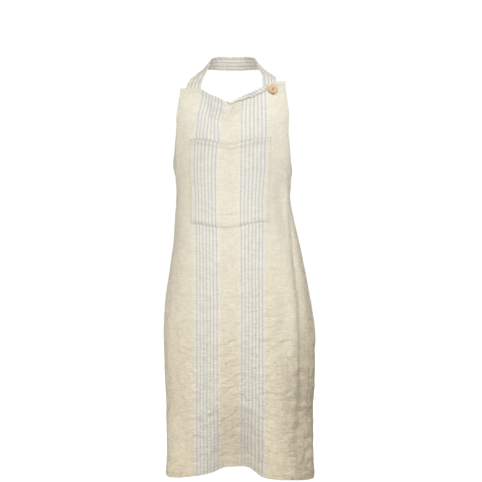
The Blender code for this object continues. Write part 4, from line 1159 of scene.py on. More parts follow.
def settle_panel():
    """Lets the panel, cut a little fuller than the form under it, settle under gravity."""
    levels = np.linspace(0, TOP, SIM_ROWS)
    shares = np.linspace(-1, 1, SIM_COLUMNS)
    level, share = np.meshgrid(levels, shares, indexing="ij")
    across = share * half_width(level)
    rest = place(across, level) + SHIFT
    index = np.arange(SIM_ROWS * SIM_COLUMNS).reshape(SIM_ROWS, SIM_COLUMNS)
    quads = np.stack([index[:-1, :-1], index[:-1, 1:], index[1:, 1:], index[1:, :-1]], -1)
    panel = mesh_from("sim_panel", rest.reshape(-1, 3), quads.reshape(-1, 4))
    group = panel.vertex_groups.new(name="hold")
    for i, weight in enumerate(hold_weights(across, level).ravel()):
        group.add([i], float(weight), "REPLACE")
    form = make_form()
    bpy.context.view_layer.update()

    cloth = panel.modifiers.new("cloth", "CLOTH")
    for key, value in CLOTH_SETTINGS.items():
        setattr(cloth.settings, key, value)
    cloth.collision_settings.use_collision = True
    cloth.collision_settings.distance_min = 0.002
    cloth.collision_settings.collision_quality = 2
    cloth.collision_settings.use_self_collision = False
    cloth.point_cache.frame_start = 1
    cloth.point_cache.frame_end = 60
    scene = bpy.context.scene
    for frame in range(1, SIM_FRAMES + 1):
        scene.frame_set(frame)
    settled = panel.evaluated_get(bpy.context.evaluated_depsgraph_get())
    points = np.zeros(SIM_ROWS * SIM_COLUMNS * 3)
    settled.data.vertices.foreach_get("co", points)
    moved = points.reshape(SIM_ROWS, SIM_COLUMNS, 3) - rest

    # soften grid noise, and cap how far a point may move
    for _ in range(2):
        padded = np.pad(moved, ((1, 1), (1, 1), (0, 0)), mode="edge")
        moved = (4 * moved + padded[:-2, 1:-1] + padded[2:, 1:-1]
                 + padded[1:-1, :-2] + padded[1:-1, 2:]) / 8
    length = np.linalg.norm(moved, axis=-1, keepdims=True)
    moved = moved * np.minimum(
        1, SAG_LIMIT * np.tanh(length / SAG_LIMIT) / np.maximum(length, 1e-9))
    # the top edge and the hem move less than the cloth between them
    moved *= (1 - ease(TOP - 0.050, TOP - 0.012, level) * 0.85)[..., None]
    moved[..., 2] *= 0.6 * ease(0.0, 0.16, level)
    moved *= (0.35 + 0.65 * ease(0.0, 0.07, level))[..., None]
    scene.frame_set(1)
    for ob in (panel, form):
        mesh = ob.data
        bpy.data.objects.remove(ob)
        bpy.data.meshes.remove(mesh)
    return moved


PANEL_SAG = settle_panel()


# ------------------------------------------------------------------ body panel
def hem_profile(inset, width):
    """0..1: how much of the folded hem's extra thickness there is at a distance from the edge."""
    return 1 - ease(width, width + 0.0013, inset)


def edge_round(inset, radius=0.0009):
    return np.sqrt(np.clip(1 - (1 - np.clip(inset / radius, 0, 1)) ** 2, 0.06, 1))


def make_panel():
    rows = np.concatenate([
        [0, 0.0005, 0.0014, 0.004, 0.0072, 0.0095, 0.0104, 0.0113, 0.0126],
        np.linspace(0.0150, 0.340, 131), np.linspace(0.340, 0.845, 88)[1:],
        np.linspace(0.845, TOP - 0.026, 8)[1:], np.linspace(TOP - 0.026, TOP - 0.0016, 23)[1:],
        [TOP - 0.0008, TOP]])
    insets = np.array([0, 0.0005, 0.0014, 0.004, 0.0066, 0.0075, 0.0084, 0.0100])
    # columns stand closer across the front than round the sides; two pairs frame the buttonhole
    slot = ((BUTTON_ACROSS + np.array([-0.0026, -0.0009, 0.0009, 0.0026]))
            / (W_TOP - insets[-1]))
    inner = np.concatenate([np.linspace(-1, -0.49, 18), np.linspace(-0.49, 0.66, 134)[1:],
                            np.linspace(0.66, 1, 15)[1:]])
    clear = np.abs(inner[:, None] - slot[None, :]).min(1) > 0.010
    inner = np.sort(np.concatenate([inner[clear], slot]))
    level = np.repeat(rows[:, None], len(insets) * 2 + len(inner) - 2, 1)
    half = half_width(rows)[:, None]
    margin = half - insets[None, :-1]
    across = np.concatenate([-margin, inner[None, :] * (half - insets[-1]), margin[:, ::-1]], 1)
    points = with_roll(across, level)
    from_side = half - np.abs(across)
    from_top = TOP - level
    hem = np.maximum.reduce([hem_profile(level, 0.0105), hem_profile(from_top, 0.0112),
                             hem_profile(from_side, 0.0075)])
    rounding = edge_round(np.minimum.reduce([from_side, level, from_top]))
    groove = 0.00030 * np.clip(
        bell(level - HEM_SEAM, 0.0009) + bell(from_top - NECK_SEAM, 0.0009)
        + bell(from_side - SIDE_SEAM, 0.0009), 0, 1)
    middle_across = (across[:-1, :-1] + across[1:, 1:]) / 2
    middle_level = (level[:-1, :-1] + level[1:, 1:]) / 2
    live = ~((np.abs(middle_across - BUTTON_ACROSS) < 0.0012)
             & (np.abs(middle_level - SLOT_LEVEL) < SLOT_HALF))
    # offsets bring each edge's seam near the seam line drawn by the material
    from_edge = np.minimum.reduce([level + 0.0003, from_top - 0.0004, from_side + 0.0030])
    panel = shell("apron_cloth", points, grid_normals(points),
                  out=(HALF_CLOTH + 0.00034 * hem - groove) * rounding,
                  inner=(HALF_CLOTH + 0.00085 * hem - groove) * rounding,
                  uv=np.stack([across, level], -1),
                  edge=np.stack([from_edge, across + level], -1), live=live)
    dress(panel, M_BODY, "apron", "linen_natural", "apron_body")


# ------------------------------------------------------------------ chest pocket
POCKET_SEAM = 0.0035       # side and bottom seam from the pocket's edge
POCKET_HEM = 0.0114        # mouth seam from the pocket's edge
POCKET_OFF = 0.0012        # pocket's middle surface above the panel's
POCKET_EXTRA = 0.00038     # extra thickness of its hems
POCKET_GRID_H = 0.1850     # height its rows are laid out on


def pocket_level(across, share):
    """Fabric level inside the pocket: share is 0 at its bottom edge and 1 at its mouth."""
    low = curve(*POCKET_LOW, across)
    return low + (curve(*POCKET_TOP, across) - low) * share


def pocket_shares(across, level):
    low = curve(*POCKET_LOW, across)
    return ((across - POCKET_LEFT) / (POCKET_RIGHT - POCKET_LEFT),
            (level - low) / (curve(*POCKET_TOP, across) - low))


def pocket_lift(across, level):
    """How far the pocket stands off the panel's middle surface."""
    share_x, share_up = pocket_shares(across, level)
    hump = np.sin(np.pi * np.clip(share_x, 0, 1))
    mouth = (0.0042 * np.clip(share_up, 0, 1.02) ** 4 * hump
             * (1 + 0.35 * np.sin(2 * np.pi * share_x * 1.7 + 0.6)))
    belly = 0.0012 * hump * np.sin(np.pi * np.clip(share_up, 0, 1))
    from_side = np.minimum(across - POCKET_LEFT, POCKET_RIGHT - across)
    pull = 0.00021 * np.sin(2 * np.pi * level / 0.021 + 1.0) * bell(from_side, 0.012)
    fold_level = 0.6045 + 0.010 * (across - 0.003) ** 2 / 0.002
    fold = -0.0009 * bell(level - fold_level, 0.0036) * bell(across - 0.002, 0.040)
    return POCKET_OFF + mouth + belly + pull + fold


def pocket_surf(across, level):
    """Pocket's middle surface; the sewn outline wanders by half a millimetre or so."""
    share_x, share_up = pocket_shares(across, level)
    wander_across = across + 0.0006 * np.sin(5.2 * share_up + 0.6) * (1 - 2 * share_x)
    wander_level = level + 0.0004 * np.sin(9.0 * share_x + 0.4)
    return off_cloth(wander_across, wander_level, pocket_lift(across, level)[..., None])


def make_pocket():
    insets = np.array([0, 0.0005, 0.0013, 0.0026, 0.0035, 0.0044, 0.0058])
    columns = np.concatenate([
        POCKET_LEFT + insets, np.linspace(POCKET_LEFT + 0.0075, POCKET_RIGHT - 0.0075, 84),
        (POCKET_RIGHT - insets)[::-1]])
    mouth_insets = np.array([0.0132, 0.0122, 0.0114, 0.0104, 0.007, 0.0035, 0.0013, 0.0005, 0])
    shares = np.concatenate([insets, np.linspace(0.0075, POCKET_GRID_H - 0.0150, 84),
                             POCKET_GRID_H - mouth_insets]) / POCKET_GRID_H
    across, shares = np.meshgrid(columns, shares)
    level = pocket_level(across, shares)
    points = pocket_surf(across, level)
    from_side = np.minimum(across - POCKET_LEFT, POCKET_RIGHT - across)
    from_low = level - pocket_level(across, 0)
    from_top = pocket_level(across, 1) - level
    hem = np.maximum.reduce([hem_profile(from_side, 0.0060), hem_profile(from_low, 0.0060),
                             hem_profile(from_top, 0.0118)])
    rounding = edge_round(np.minimum.reduce([from_side, from_low, from_top]))
    groove = np.clip(bell(from_low - POCKET_SEAM, 0.0008) + bell(from_side - POCKET_SEAM, 0.0008)
                     + bell(from_top - POCKET_HEM, 0.0008), 0, 1)
    from_edge = np.minimum.reduce([from_low + 0.0063, from_side + 0.0063, from_top - 0.0016])
    pocket = shell("chest_pocket_cloth", points, grid_normals(points),
                   out=(HALF_CLOTH + POCKET_EXTRA * hem - 0.00026 * groove) * rounding,
                   inner=(0.00030 + 0.00010 * hem) * rounding,
                   uv=np.stack([across, level], -1),
                   edge=np.stack([from_edge, across + level], -1))
    dress(pocket, M_POCKET, "apron", "linen_pocket", "chest_pocket")


# ------------------------------------------------------------------ seams
POCKET_FACE = HALF_CLOTH + POCKET_EXTRA
SEAM_OFF = 0.00042         # panel seams above the cloth's middle surface


def make_pocket_seams():
    count = 60
    left, right = POCKET_LEFT + POCKET_SEAM, POCKET_RIGHT - POCKET_SEAM
    bottom = np.linspace(left, right, count)
    down = np.linspace(pocket_level(POCKET_LEFT, 1) - 0.0035,
                       pocket_level(POCKET_LEFT, 0) + POCKET_SEAM, count)
    up = np.linspace(pocket_level(POCKET_RIGHT, 0) + POCKET_SEAM,
                     pocket_level(POCKET_RIGHT, 1) - 0.0035, count)
    across = np.concatenate([np.full(count, left), bottom[1:], np.full(count - 1, right)])
    level = np.concatenate([down, pocket_level(bottom, 0)[1:] + POCKET_SEAM, up[1:]])
    seam("pocket_seam", "pocket_stitching", across, level, POCKET_FACE + 0.00004, seed=2,
         surface=pocket_surf)
    across = np.linspace(POCKET_LEFT + 0.0042, POCKET_RIGHT - 0.0042, count)
    seam("pocket_hem_seam", "pocket_hem_stitch", across, pocket_level(across, 1) - POCKET_HEM,
         POCKET_FACE - 0.00006, seed=3, surface=pocket_surf)


def make_panel_seams():
    across = np.linspace(-W_HEM + 0.003, W_HEM - 0.003, 240)
    seam("skirt_hem_seam", "skirt_hem_stitch", across, np.full(240, HEM_SEAM), SEAM_OFF, seed=4)
    # the neckline seam follows the hem where it has rolled over
    across = np.linspace(-W_TOP + 0.004, BUTTON_ACROSS - 0.006, 150)
    seam("neckline_hem_seam", "bib_hem_stitch", across, np.full(150, TOP - NECK_SEAM), SEAM_OFF,
         seed=5, surface=with_roll)
    for side, sign in SIDES:
        level = np.concatenate([np.linspace(WAIST + 0.004, WAIST + 0.06, 60),
                                np.linspace(WAIST + 0.062, TOP - 0.012, 80)])
        slope = (half_width(level + 0.001) - half_width(level - 0.001)) / 0.002
        inset = SIDE_SEAM / np.sqrt(1 + slope ** 2)
        seam("armhole_seam_" + side, "armhole_stitch_" + side,
             sign * (half_width(level) - inset), level + slope * inset, SEAM_OFF, seed=6 + sign)
        level = np.linspace(0.004, WAIST - 0.004, 220)
        seam("side_seam_" + side, "side_hem_stitch_" + side,
             sign * (half_width(level) - SIDE_SEAM), level, SEAM_OFF, seed=9 + sign)


def make_pocket_tacks():
    for side, across in (("left", POCKET_LEFT + POCKET_SEAM), ("right", POCKET_RIGHT - POCKET_SEAM)):
        mouth = pocket_level(across, 1)
        satin("pocket_tack_" + side, "pocket_bartack_" + side, np.full(11, across),
              np.linspace(mouth - 0.0055, mouth - 0.0004, 11), reach_across=0.0015, reach_up=0.0,
              offset=POCKET_FACE + 0.0002, material=M_TACK, surface=pocket_surf)


def make_buttonhole():
    """Satin bars down both sides and across both ends."""
    side_count, end_count = 34, 9
    side_levels = np.linspace(SLOT_LEVEL - SLOT_HALF, SLOT_LEVEL + SLOT_HALF, side_count)
    end_places = np.linspace(BUTTON_ACROSS - 0.0025, BUTTON_ACROSS + 0.0025, end_count)
    across = np.concatenate([np.full(side_count, BUTTON_ACROSS - 0.0019),
                             np.full(side_count, BUTTON_ACROSS + 0.0019), end_places, end_places])
    end_off = SLOT_HALF + 0.0008
    level = np.concatenate([side_levels, side_levels, np.full(end_count, SLOT_LEVEL - end_off),
                            np.full(end_count, SLOT_LEVEL + end_off)])
    counts = (2 * side_count, 2 * end_count)
    satin("buttonhole_bars", "buttonhole_stitch", across, level,
          reach_across=np.repeat((0.0008, 0.0), counts), reach_up=np.repeat((0.0, 0.0009), counts),
          offset=0.00055, material=M_HOLE, radius=0.00040)


# ------------------------------------------------------------------ neck strap
BEHIND = -(HALF_CLOTH + 0.00085 + 0.0009)    # hidden strap ends behind the panel
# the free strap from left to right: centre x, y, z, then its direction across
STRAP_PATH = np.array([
    (-0.0905, -0.040, 0.9035, 0.96, 0.05, 0.28), (-0.0830, -0.022, 0.9190, 0.88, 0.02, 0.47),
    (-0.0735, 0.002, 0.9375, 0.78, -0.12, 0.60), (-0.0650, 0.026, 0.9520, 0.62, -0.34, 0.70),
    (-0.0480, 0.050, 0.9600, 0.34, -0.42, 0.84), (-0.0160, 0.0640, 0.9620, 0.0, -0.30, 0.95),
    (0.0080, 0.0640, 0.9620, 0.0, -0.30, 0.95), (0.0410, 0.050, 0.9600, -0.34, -0.42, 0.84),
    (0.0575, 0.026, 0.9530, -0.62, -0.34, 0.70), (0.0655, 0.002, 0.9400, -0.78, -0.12, 0.60),
    (0.0730, -0.022, 0.9250, -0.88, 0.02, 0.47), (0.0795, -0.040, 0.9120, -0.96, 0.05, 0.28)])


def fold_point(strap_across):
    """Middle of the strap's fold: behind the cloth, just above the highest edge it passes."""
    places = strap_across + np.linspace(-STRAP_W / 2, STRAP_W / 2, 9)
    top_z = place(places, np.full(9, TOP))[:, 2].max() + 0.0040
    rise = top_z - place([strap_across], [TOP])[0, 2]
    return off_form(np.array([strap_across]), np.array([TOP + rise]), -(CLOTH + 0.0008))[0]


def strap_stations(fold_left, fold_right):
    """Rows of five points across the strap, from its hidden left end to its hidden right end."""
    widths = FIVE * STRAP_W / 2
    above_fold = (0, 0.0003, 0.0009)
    centres = np.array([fold_left + above_fold, *STRAP_PATH[:, :3], fold_right + above_fold])
    rows = [off_cloth(STRAP_LEFT + widths, np.full(5, TOP - depth), BEHIND)
            for depth in (0.034, 0.026, 0.018, 0.010, 0.004)]
    rows.append(off_form(STRAP_LEFT + widths, np.full(5, TOP + 0.0005), -(CLOTH + 0.0010)) + SHIFT)
    for i, direction in enumerate(STRAP_PATH[:, 3:], 1):
        tangent = unit(centres[i + 1] - centres[i - 1])
        direction = unit(direction - (direction * tangent).sum() * tangent)
        rows.append(centres[i] + SHIFT + widths[:, None] * direction)
    rows.append(off_form(STRAP_RIGHT - widths, np.full(5, TOP + 0.004), -(CLOTH + 0.0010)) + SHIFT)
    rows += [off_cloth(STRAP_RIGHT - widths, np.full(5, TOP - depth), BEHIND)
             for depth in (0.004, 0.012, 0.020, 0.030, 0.044)]
    return np.array(rows)


def densify(rows, along, from_places, to_places):
    """Resamples rows of points to the distances along and the places across."""
    lengths = path_lengths(rows[:, 2])
    dense = np.stack([curve3(lengths, rows[:, c], along) for c in range(rows.shape[1])], 1)
    return np.array([interp3(to_places, from_places, row) for row in dense])


def make_strap():
    """One continuous band, with topstitching along both edges that bends with it."""
    fold_left, fold_right = fold_point(STRAP_LEFT), fold_point(STRAP_RIGHT)
    rows = strap_stations(fold_left, fold_right)
    length = path_lengths(rows[:, 2])[-1]
    count = int(length / 0.0024)
    along = np.linspace(0, length, count)
    insets = np.array([0, 0.0004, 0.0012, 0.0024, 0.0034, 0.0044, 0.0060])
    columns = np.concatenate([insets, np.linspace(0.0075, STRAP_W - 0.0075, 12),
                              (STRAP_W - insets)[::-1]]) - STRAP_W / 2
    points = densify(rows, along, FIVE * STRAP_W / 2, columns)
    normals = grid_normals(points)
    # the strap's outer face points away from the wearer
    flip = np.sign((normals[count // 6, len(columns) // 2] * np.array([0, -0.7, 0.7])).sum())
    normals = normals * flip
    free = ease(0.040, 0.065, along) * (1 - ease(length - 0.078, length - 0.052, along))
    share = columns / (STRAP_W / 2)
    ripple = (0.0010 * np.sin(along / 0.021)[:, None] * share[None, :]
              + 0.0011 * np.sin(along / 0.034 + 1.0)[:, None] * (share[None, :] ** 2 - 0.4)
              + 0.00035 * np.sin(along / 0.0075 + 0.5)[:, None] * np.sin(share * 2.1 + 0.7))
    points = points + normals * (ripple * free[:, None])[..., None]
    normals = grid_normals(points) * flip

    seam_inset = 0.0026
    from_side = STRAP_W / 2 - np.abs(columns)
    hem = hem_profile(from_side, 0.0048)[None, :] * np.ones((count, 1))
    from_end = np.minimum(along, length - along)[:, None]
    rounding = edge_round(np.minimum(from_side[None, :], from_end))
    groove = bell(from_side - seam_inset, 0.0007)[None, :]
    lengthwise = along[:, None]
    uv = np.stack(np.broadcast_arrays(-columns[None, :], lengthwise), -1)
    edge = np.stack(np.broadcast_arrays(from_side[None, :] + 0.0072, lengthwise), -1)
    grids = (points, normals, (0.00050 + 0.00016 * hem - 0.00022 * groove) * rounding,
             (0.00050 + 0.00016 * hem) * rounding, uv, edge)
    order = slice(None, None, -1) if flip < 0 else slice(None)
    band = shell("neck_strap_band", *(grid[:, order] for grid in grids))
    band.data.materials.append(M_STRAP)
    middle = (fold_left + fold_right) / 2 + SHIFT
    up = unit(np.array([0.0, 0.55, 0.83]))
    blend = dict(start=tuple(middle - up * 0.0015), end=tuple(middle + up * 0.0200))
    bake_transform(band)
    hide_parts("neck_strap_loop", "neck_strap_sewn_end", "neck_strap_button_end")

    distances = np.linspace(0.036, length - 0.047, 700)
    stitch_count = int((distances[-1] - distances[0]) / 0.0033)
    stops = np.linspace(distances[0], distances[-1], stitch_count + 1)
    lines = []
    for sign in (-1, 1):
        j = int(np.argmin(np.abs(columns - sign * (STRAP_W / 2 - seam_inset))))
        lines.append((stops, distances, interp3(distances, along, points[:, j]),
                      unit(interp3(distances, along, normals[:, j]))))
    stitches = tape_rows("neck_strap_topstitch", lines, radius=0.00028)
    stitches.data.materials.append(M_THREAD)
    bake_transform(stitches)

    # box of stitches through bib and sewn strap end: distance across, distance below the edge
    half, shallow, deep = 0.0125, 0.0150, 0.0300
    across, below = box_path([(-half, deep), (half, deep), (half, shallow), (-half, shallow),
                              (-half, deep)], steps=14)
    seam("strap_box_seam", "neck_strap_box_stitch", STRAP_LEFT + across, TOP - below, 0.00048,
         seed=15)


# ------------------------------------------------------------------ button and its thread
PROFILE_R = 0.0106         # radius the button profile is drawn for
DISH_Z = BUTTON_T - 0.00115    # floor of the dish in the button's face


def button_frame():
    """Button's local frame: z outward from the cloth, x level with the world's X."""
    across, level = np.array([BUTTON_ACROSS]), np.array([BUTTON_LEVEL])
    normal = face_normal(place, across, level, 0.002)[0]
    centre = place(across, level)[0] + SHIFT
    axis_z = Vector(normal)
    axis_x = Vector((1, 0, 0)) - axis_z * axis_z.x
    axis_x.normalize()
    axis_y = axis_z.cross(axis_x)
    matrix = Matrix((axis_x, axis_y, axis_z)).transposed().to_4x4()
    matrix.translation = Vector(centre + normal * (CLOTH / 2 + 0.0024))
    return matrix


def arc(centre_x, centre_z, radius, start, end, count):
    """Profile points on an arc, between angles in degrees."""
    angles = [math.radians(start + (end - start) * i / count) for i in range(count + 1)]
    return [(centre_x + radius * math.cos(angle), centre_z + radius * math.sin(angle))
            for angle in angles]


def lathe(name, profile, segments):
    """Solid of revolution round z; profile points are radius, z and start and end on the axis."""
    solid = bmesh.new()
    rings = []
    for radius, z in profile:
        if radius < 1e-6:
            rings.append([solid.verts.new((0, 0, z))])
            continue
        angles = [2 * math.pi * q / segments for q in range(segments)]
        rings.append([solid.verts.new((radius * math.cos(angle), radius * math.sin(angle), z))
                      for angle in angles])
    for first, second in zip(rings, rings[1:]):
        for q in range(segments):
            after = (q + 1) % segments
            if len(first) == 1:
                solid.faces.new((first[0], second[q], second[after]))
            elif len(second) == 1:
                solid.faces.new((first[after], first[q], second[0]))
            else:
                solid.faces.new((first[after], first[q], second[q], second[after]))
    bmesh.ops.recalc_face_normals(solid, faces=solid.faces)
    mesh = bpy.data.meshes.new(name)
    solid.to_mesh(mesh)
    solid.free()
    return add_object(name, mesh)


def make_button(frame):
    # face from the centre: shallow dish, step up to a soft rounded rim, flat back
    face = [(0.0, 0.00115), (0.0015, 0.00115), (0.0030, 0.00112), (0.0045, 0.00100),
            (0.0056, 0.00082), (0.0064, 0.00060), (0.0069, 0.00040), (0.0074, 0.00022),
            (0.0080, 0.00008), (0.0087, 0.0)]    # radius, depth below the rim
    profile = [(radius, BUTTON_T - depth) for radius, depth in face]
    profile += arc(0.0093, BUTTON_T - 0.0013, 0.0013, 80, 0, 8)
    profile += arc(0.0091, 0.0016, 0.0015, -8, -82, 7)
    profile += [(0.0086, 0.00008), (0.0074, 0.0), (0.0040, 0.0), (0.0, 0.0)]
    profile = [(radius * BUTTON_R / PROFILE_R, z) for radius, z in profile]
    button = lathe("wooden_button", profile, segments=96)
    cutters = []
    for x, y, radius in HOLES:
        cutter = lathe("hole", [
            (0.0, 0.010), (radius + 0.0008, 0.010), (radius + 0.0004, BUTTON_T - 0.00095),
            (radius + 0.0001, BUTTON_T - 0.00150), (radius, BUTTON_T - 0.0018), (radius, 0.0010),
            (radius + 0.0001, 0.0003), (radius + 0.0006, -0.0004), (radius + 0.0006, -0.004),
            (0.0, -0.004)], segments=28)
        cutter.location = (x, y, 0)
        cutters.append(cutter)
        cut = button.modifiers.new("hole", "BOOLEAN")
        cut.operation = "DIFFERENCE"
        cut.solver = "EXACT"
        cut.object = cutter
    bpy.context.view_layer.update()
    drilled = button.evaluated_get(bpy.context.evaluated_depsgraph_get())
    mesh = bpy.data.meshes.new_from_object(drilled)
    button.modifiers.clear()
    button.data = mesh
    for cutter in cutters:
        bpy.data.objects.remove(cutter)
    mesh.shade_smooth()
    mesh.set_sharp_from_angle(angle=math.radians(50))
    mesh.materials.clear()
    button.matrix_world = frame
    dress(button, M_WOOD, "button", "button_wood", "bib_button")


def yarn(name, points, radius, sides=10, twist=3600, ply=0.16):
    """Closed tube along points, with the bumps of twisted yarn."""
    tangents = unit(np.gradient(points, axis=0))
    lengths = path_lengths(points)
    side = unit(np.cross(tangents[0], np.array([0.3, 0.2, 1.0])))
    verts = []
    for point, tangent, length in zip(points, tangents, lengths):
        side = unit(side - (side * tangent).sum() * tangent)
        other = np.cross(tangent, side)
        from_end = min(length, lengths[-1] - length) / radius
        taper = math.sqrt(max(0.08, 1 - (1 - min(1.0, from_end + 0.05)) ** 2))
        for q in range(sides):
            angle = 2 * math.pi * q / sides
            bumped = radius * taper * (1 + ply * math.cos(2 * (angle - twist * length)))
            verts.append(point + (side * math.cos(angle) + other * math.sin(angle)) * bumped)
    return mesh_from(name, verts, tube_faces(len(points), sides))


def make_button_thread(frame):
    """Two strands crossing the dish from one hole to the other."""
    (x_1, y_1, _), (x_0, y_0, _) = HOLES
    top = DISH_Z + 0.00052
    for j, (off_x, off_y) in enumerate(((0.00020, -0.00016), (-0.00020, 0.00016))):
        # share of the way between the holes, z
        path = ((0.0, -0.0030), (0.0, 0.0005), (0.0, BUTTON_T - 0.0016), (0.10, top - 0.00005),
                (0.30, top + 0.0003 + 0.0001 * j), (0.5, top + 0.00038), (0.70, top + 0.0003),
                (0.90, top - 0.00005), (1.0, BUTTON_T - 0.0016), (1.0, 0.0005), (1.0, -0.0030))
        points = np.array([(x_0 + (x_1 - x_0) * share + off_x, y_0 + (y_1 - y_0) * share + off_y, z)
                           for share, z in path])
        lengths = path_lengths(points)
        strand = yarn("button_thread_strand_%d" % j,
                      curve3(lengths, points, np.linspace(0, lengths[-1], 60)), radius=0.00030)
        strand.matrix_world = frame
        replaced = ("button_thread",) if j == 0 else ()
        dress(strand, M_BUTTON_THREAD, "button", "thread_button", *replaced)


# ------------------------------------------------------------------ waist ties, knot, bow, tails
TIE_END_LEFT, TIE_END_RIGHT = (
    off_form(np.array([sign * W_WAIST]), np.array([TIE_LEVEL]), 0.0018)[0] for sign in (-1, 1))
KNOT = np.array([(TIE_END_LEFT[0] + TIE_END_RIGHT[0]) / 2, 0.104, WAIST - 0.017]) + SHIFT
TIE_OFF = 0.00165          # sewn tie ends above the panel's middle surface


class Tape:
    """Folded-edge tape through rows of five points."""

    def __init__(self, name, rows, material, carrier, replaced, seed, closed_ends, wobble=0.0004):
        length = path_lengths(rows[:, 2])[-1]
        along = np.linspace(0, length, max(8, int(length / 0.0022)))
        places = np.concatenate([[-1, -0.965, -0.90, -0.80, -0.70, -0.62],
                                 np.linspace(-0.5, 0.5, 9), [0.62, 0.70, 0.80, 0.90, 0.965, 1]])
        points = densify(rows, along, FIVE, places)
        phase = np.random.default_rng(seed).random(3) * 6.28
        free = ease(0.0, 0.02, along) * ease(0.0, 0.02, length - along)
        ripple = wobble * (
            np.sin(along / 0.012 + phase[0])[:, None] * np.sin(places * 1.9 + phase[1])
            + 0.6 * np.sin(along / 0.0065 + phase[2])[:, None] * np.cos(places * 3.1))
        points = points + grid_normals(points) * (ripple * free[:, None])[..., None]
        half = np.linalg.norm(points[:, -1] - points[:, 0], axis=-1) / 2
        from_side = (1 - np.abs(places))[None, :] * half[:, None]
        from_edge = from_side
        if closed_ends[0]:
            from_edge = np.minimum(from_edge, along[:, None])
        if closed_ends[1]:
            from_edge = np.minimum(from_edge, (length - along)[:, None])
        rounding = edge_round(from_edge, 0.0007)
        thickness = 0.00050 + 0.00016 * hem_profile(from_side, 0.0040)
        groove = 0.00018 * bell(from_side - 0.0024, 0.0006)
        uv = np.stack(np.broadcast_arrays(places[None, :] * 0.012, along[:, None]), -1)
        self.points, self.normals = points, grid_normals(points)
        self.along, self.places, self.half = along, places, half
        self.carrier = carrier
        ob = shell(name, points, self.normals, (thickness - groove) * rounding,
                   thickness * rounding, uv, np.stack([from_side + 0.0074, uv[..., 1]], -1))
        dress(ob, material, carrier, "tie_linen", replaced)

    def topstitch(self, name, start, end_gap, inset=0.0024):
        """Stitches near both edges, from start to end_gap before the tape's end."""
        finish = self.along[-1] - end_gap
        stops = np.linspace(start, finish, max(3, int((finish - start) / 0.0034)) + 1)
        rows = []
        for sign in (-1, 1):
            line = sign * (1 - inset / np.maximum(self.half, 0.004))
            points, normals = (np.array([interp3(at, self.places, row)
                                         for at, row in zip(line, grid)])
                               for grid in (self.points, self.normals))
            rows.append((stops, self.along, points, normals))
        dress(tape_rows(name, rows, radius=0.00026), M_THREAD, self.carrier, "thread_cotton")

    def end_seam(self, name):
        """Stitches across the turned-under end, on both faces."""
        i = int(np.argmin(np.abs(self.along - (self.along[-1] - 0.0040))))
        line = np.linspace(-0.82, 0.82, 8)
        points = interp3(line, self.places, self.points[i])
        normals = unit(interp3(line, self.places, self.normals[i]))
        gap = unit(points[1:] - points[:-1]) * 0.0003
        parts = [(points[:-1] + gap + normals[:-1] * 0.0005 * face,
                  points[1:] - gap + normals[1:] * 0.0005 * face, normals[:-1] * face)
                 for face in (1, -1)]
        ob = capsules(name, *(np.concatenate(part) for part in zip(*parts)), 0.00026)
        dress(ob, M_THREAD, self.carrier, "thread_cotton")


def make_waist_tie(i, side, sign):
    level = TIE_LEVEL + FIVE * TIE_W / 2
    rows = [off_cloth(sign * np.full(5, across), level, TIE_OFF)
            for across in np.linspace(W_WAIST - 0.030, W_WAIST, 7)]
    start = rows[-1][2]
    stop = KNOT + (sign * (KNOT_R - 0.0020), -0.009, 0)
    for share in np.linspace(0, 1, 10)[1:]:
        bulge = math.sin(math.pi * share)
        half = TIE_W / 2 * (1 - 0.60 * ease(0.35, 1, share))
        centre = (start * (1 - share) + stop * share
                  + np.array([0, 0.006 * bulge * (1 - share), -0.004 * bulge]))
        # the tape gathers into soft pleats as it nears the knot
        pleat = 0.0016 * ease(0.35, 1.0, share) * np.cos(2.2 * np.pi * FIVE + 0.5 * sign)
        rows.append(centre + xyz(0, pleat, FIVE * half))
    rows = np.array(rows)[:, ::sign]
    tape = Tape("waist_tie_tape_" + side, rows, M_TIE, "apron", "waist_tie_" + side,
                seed=21 + i, closed_ends=(True, False))
    tape.topstitch("waist_tie_topstitch_" + side, start=0.002, end_gap=0.006)
    # square of stitching with a diagonal that holds the tie to the panel
    half = 0.0085
    across, up = box_path([(-half, -half), (half, -half), (half, half), (-half, half),
                           (-half, -half), (half, half)], steps=10)
    seam("tie_box_seam_" + side, "tie_bartack_" + side, sign * (W_WAIST - 0.016) + across,
         TIE_LEVEL + up, TIE_OFF + 0.00066, seed=31 + i, material=M_TACK, pitch=0.0029,
         radius=0.00033)


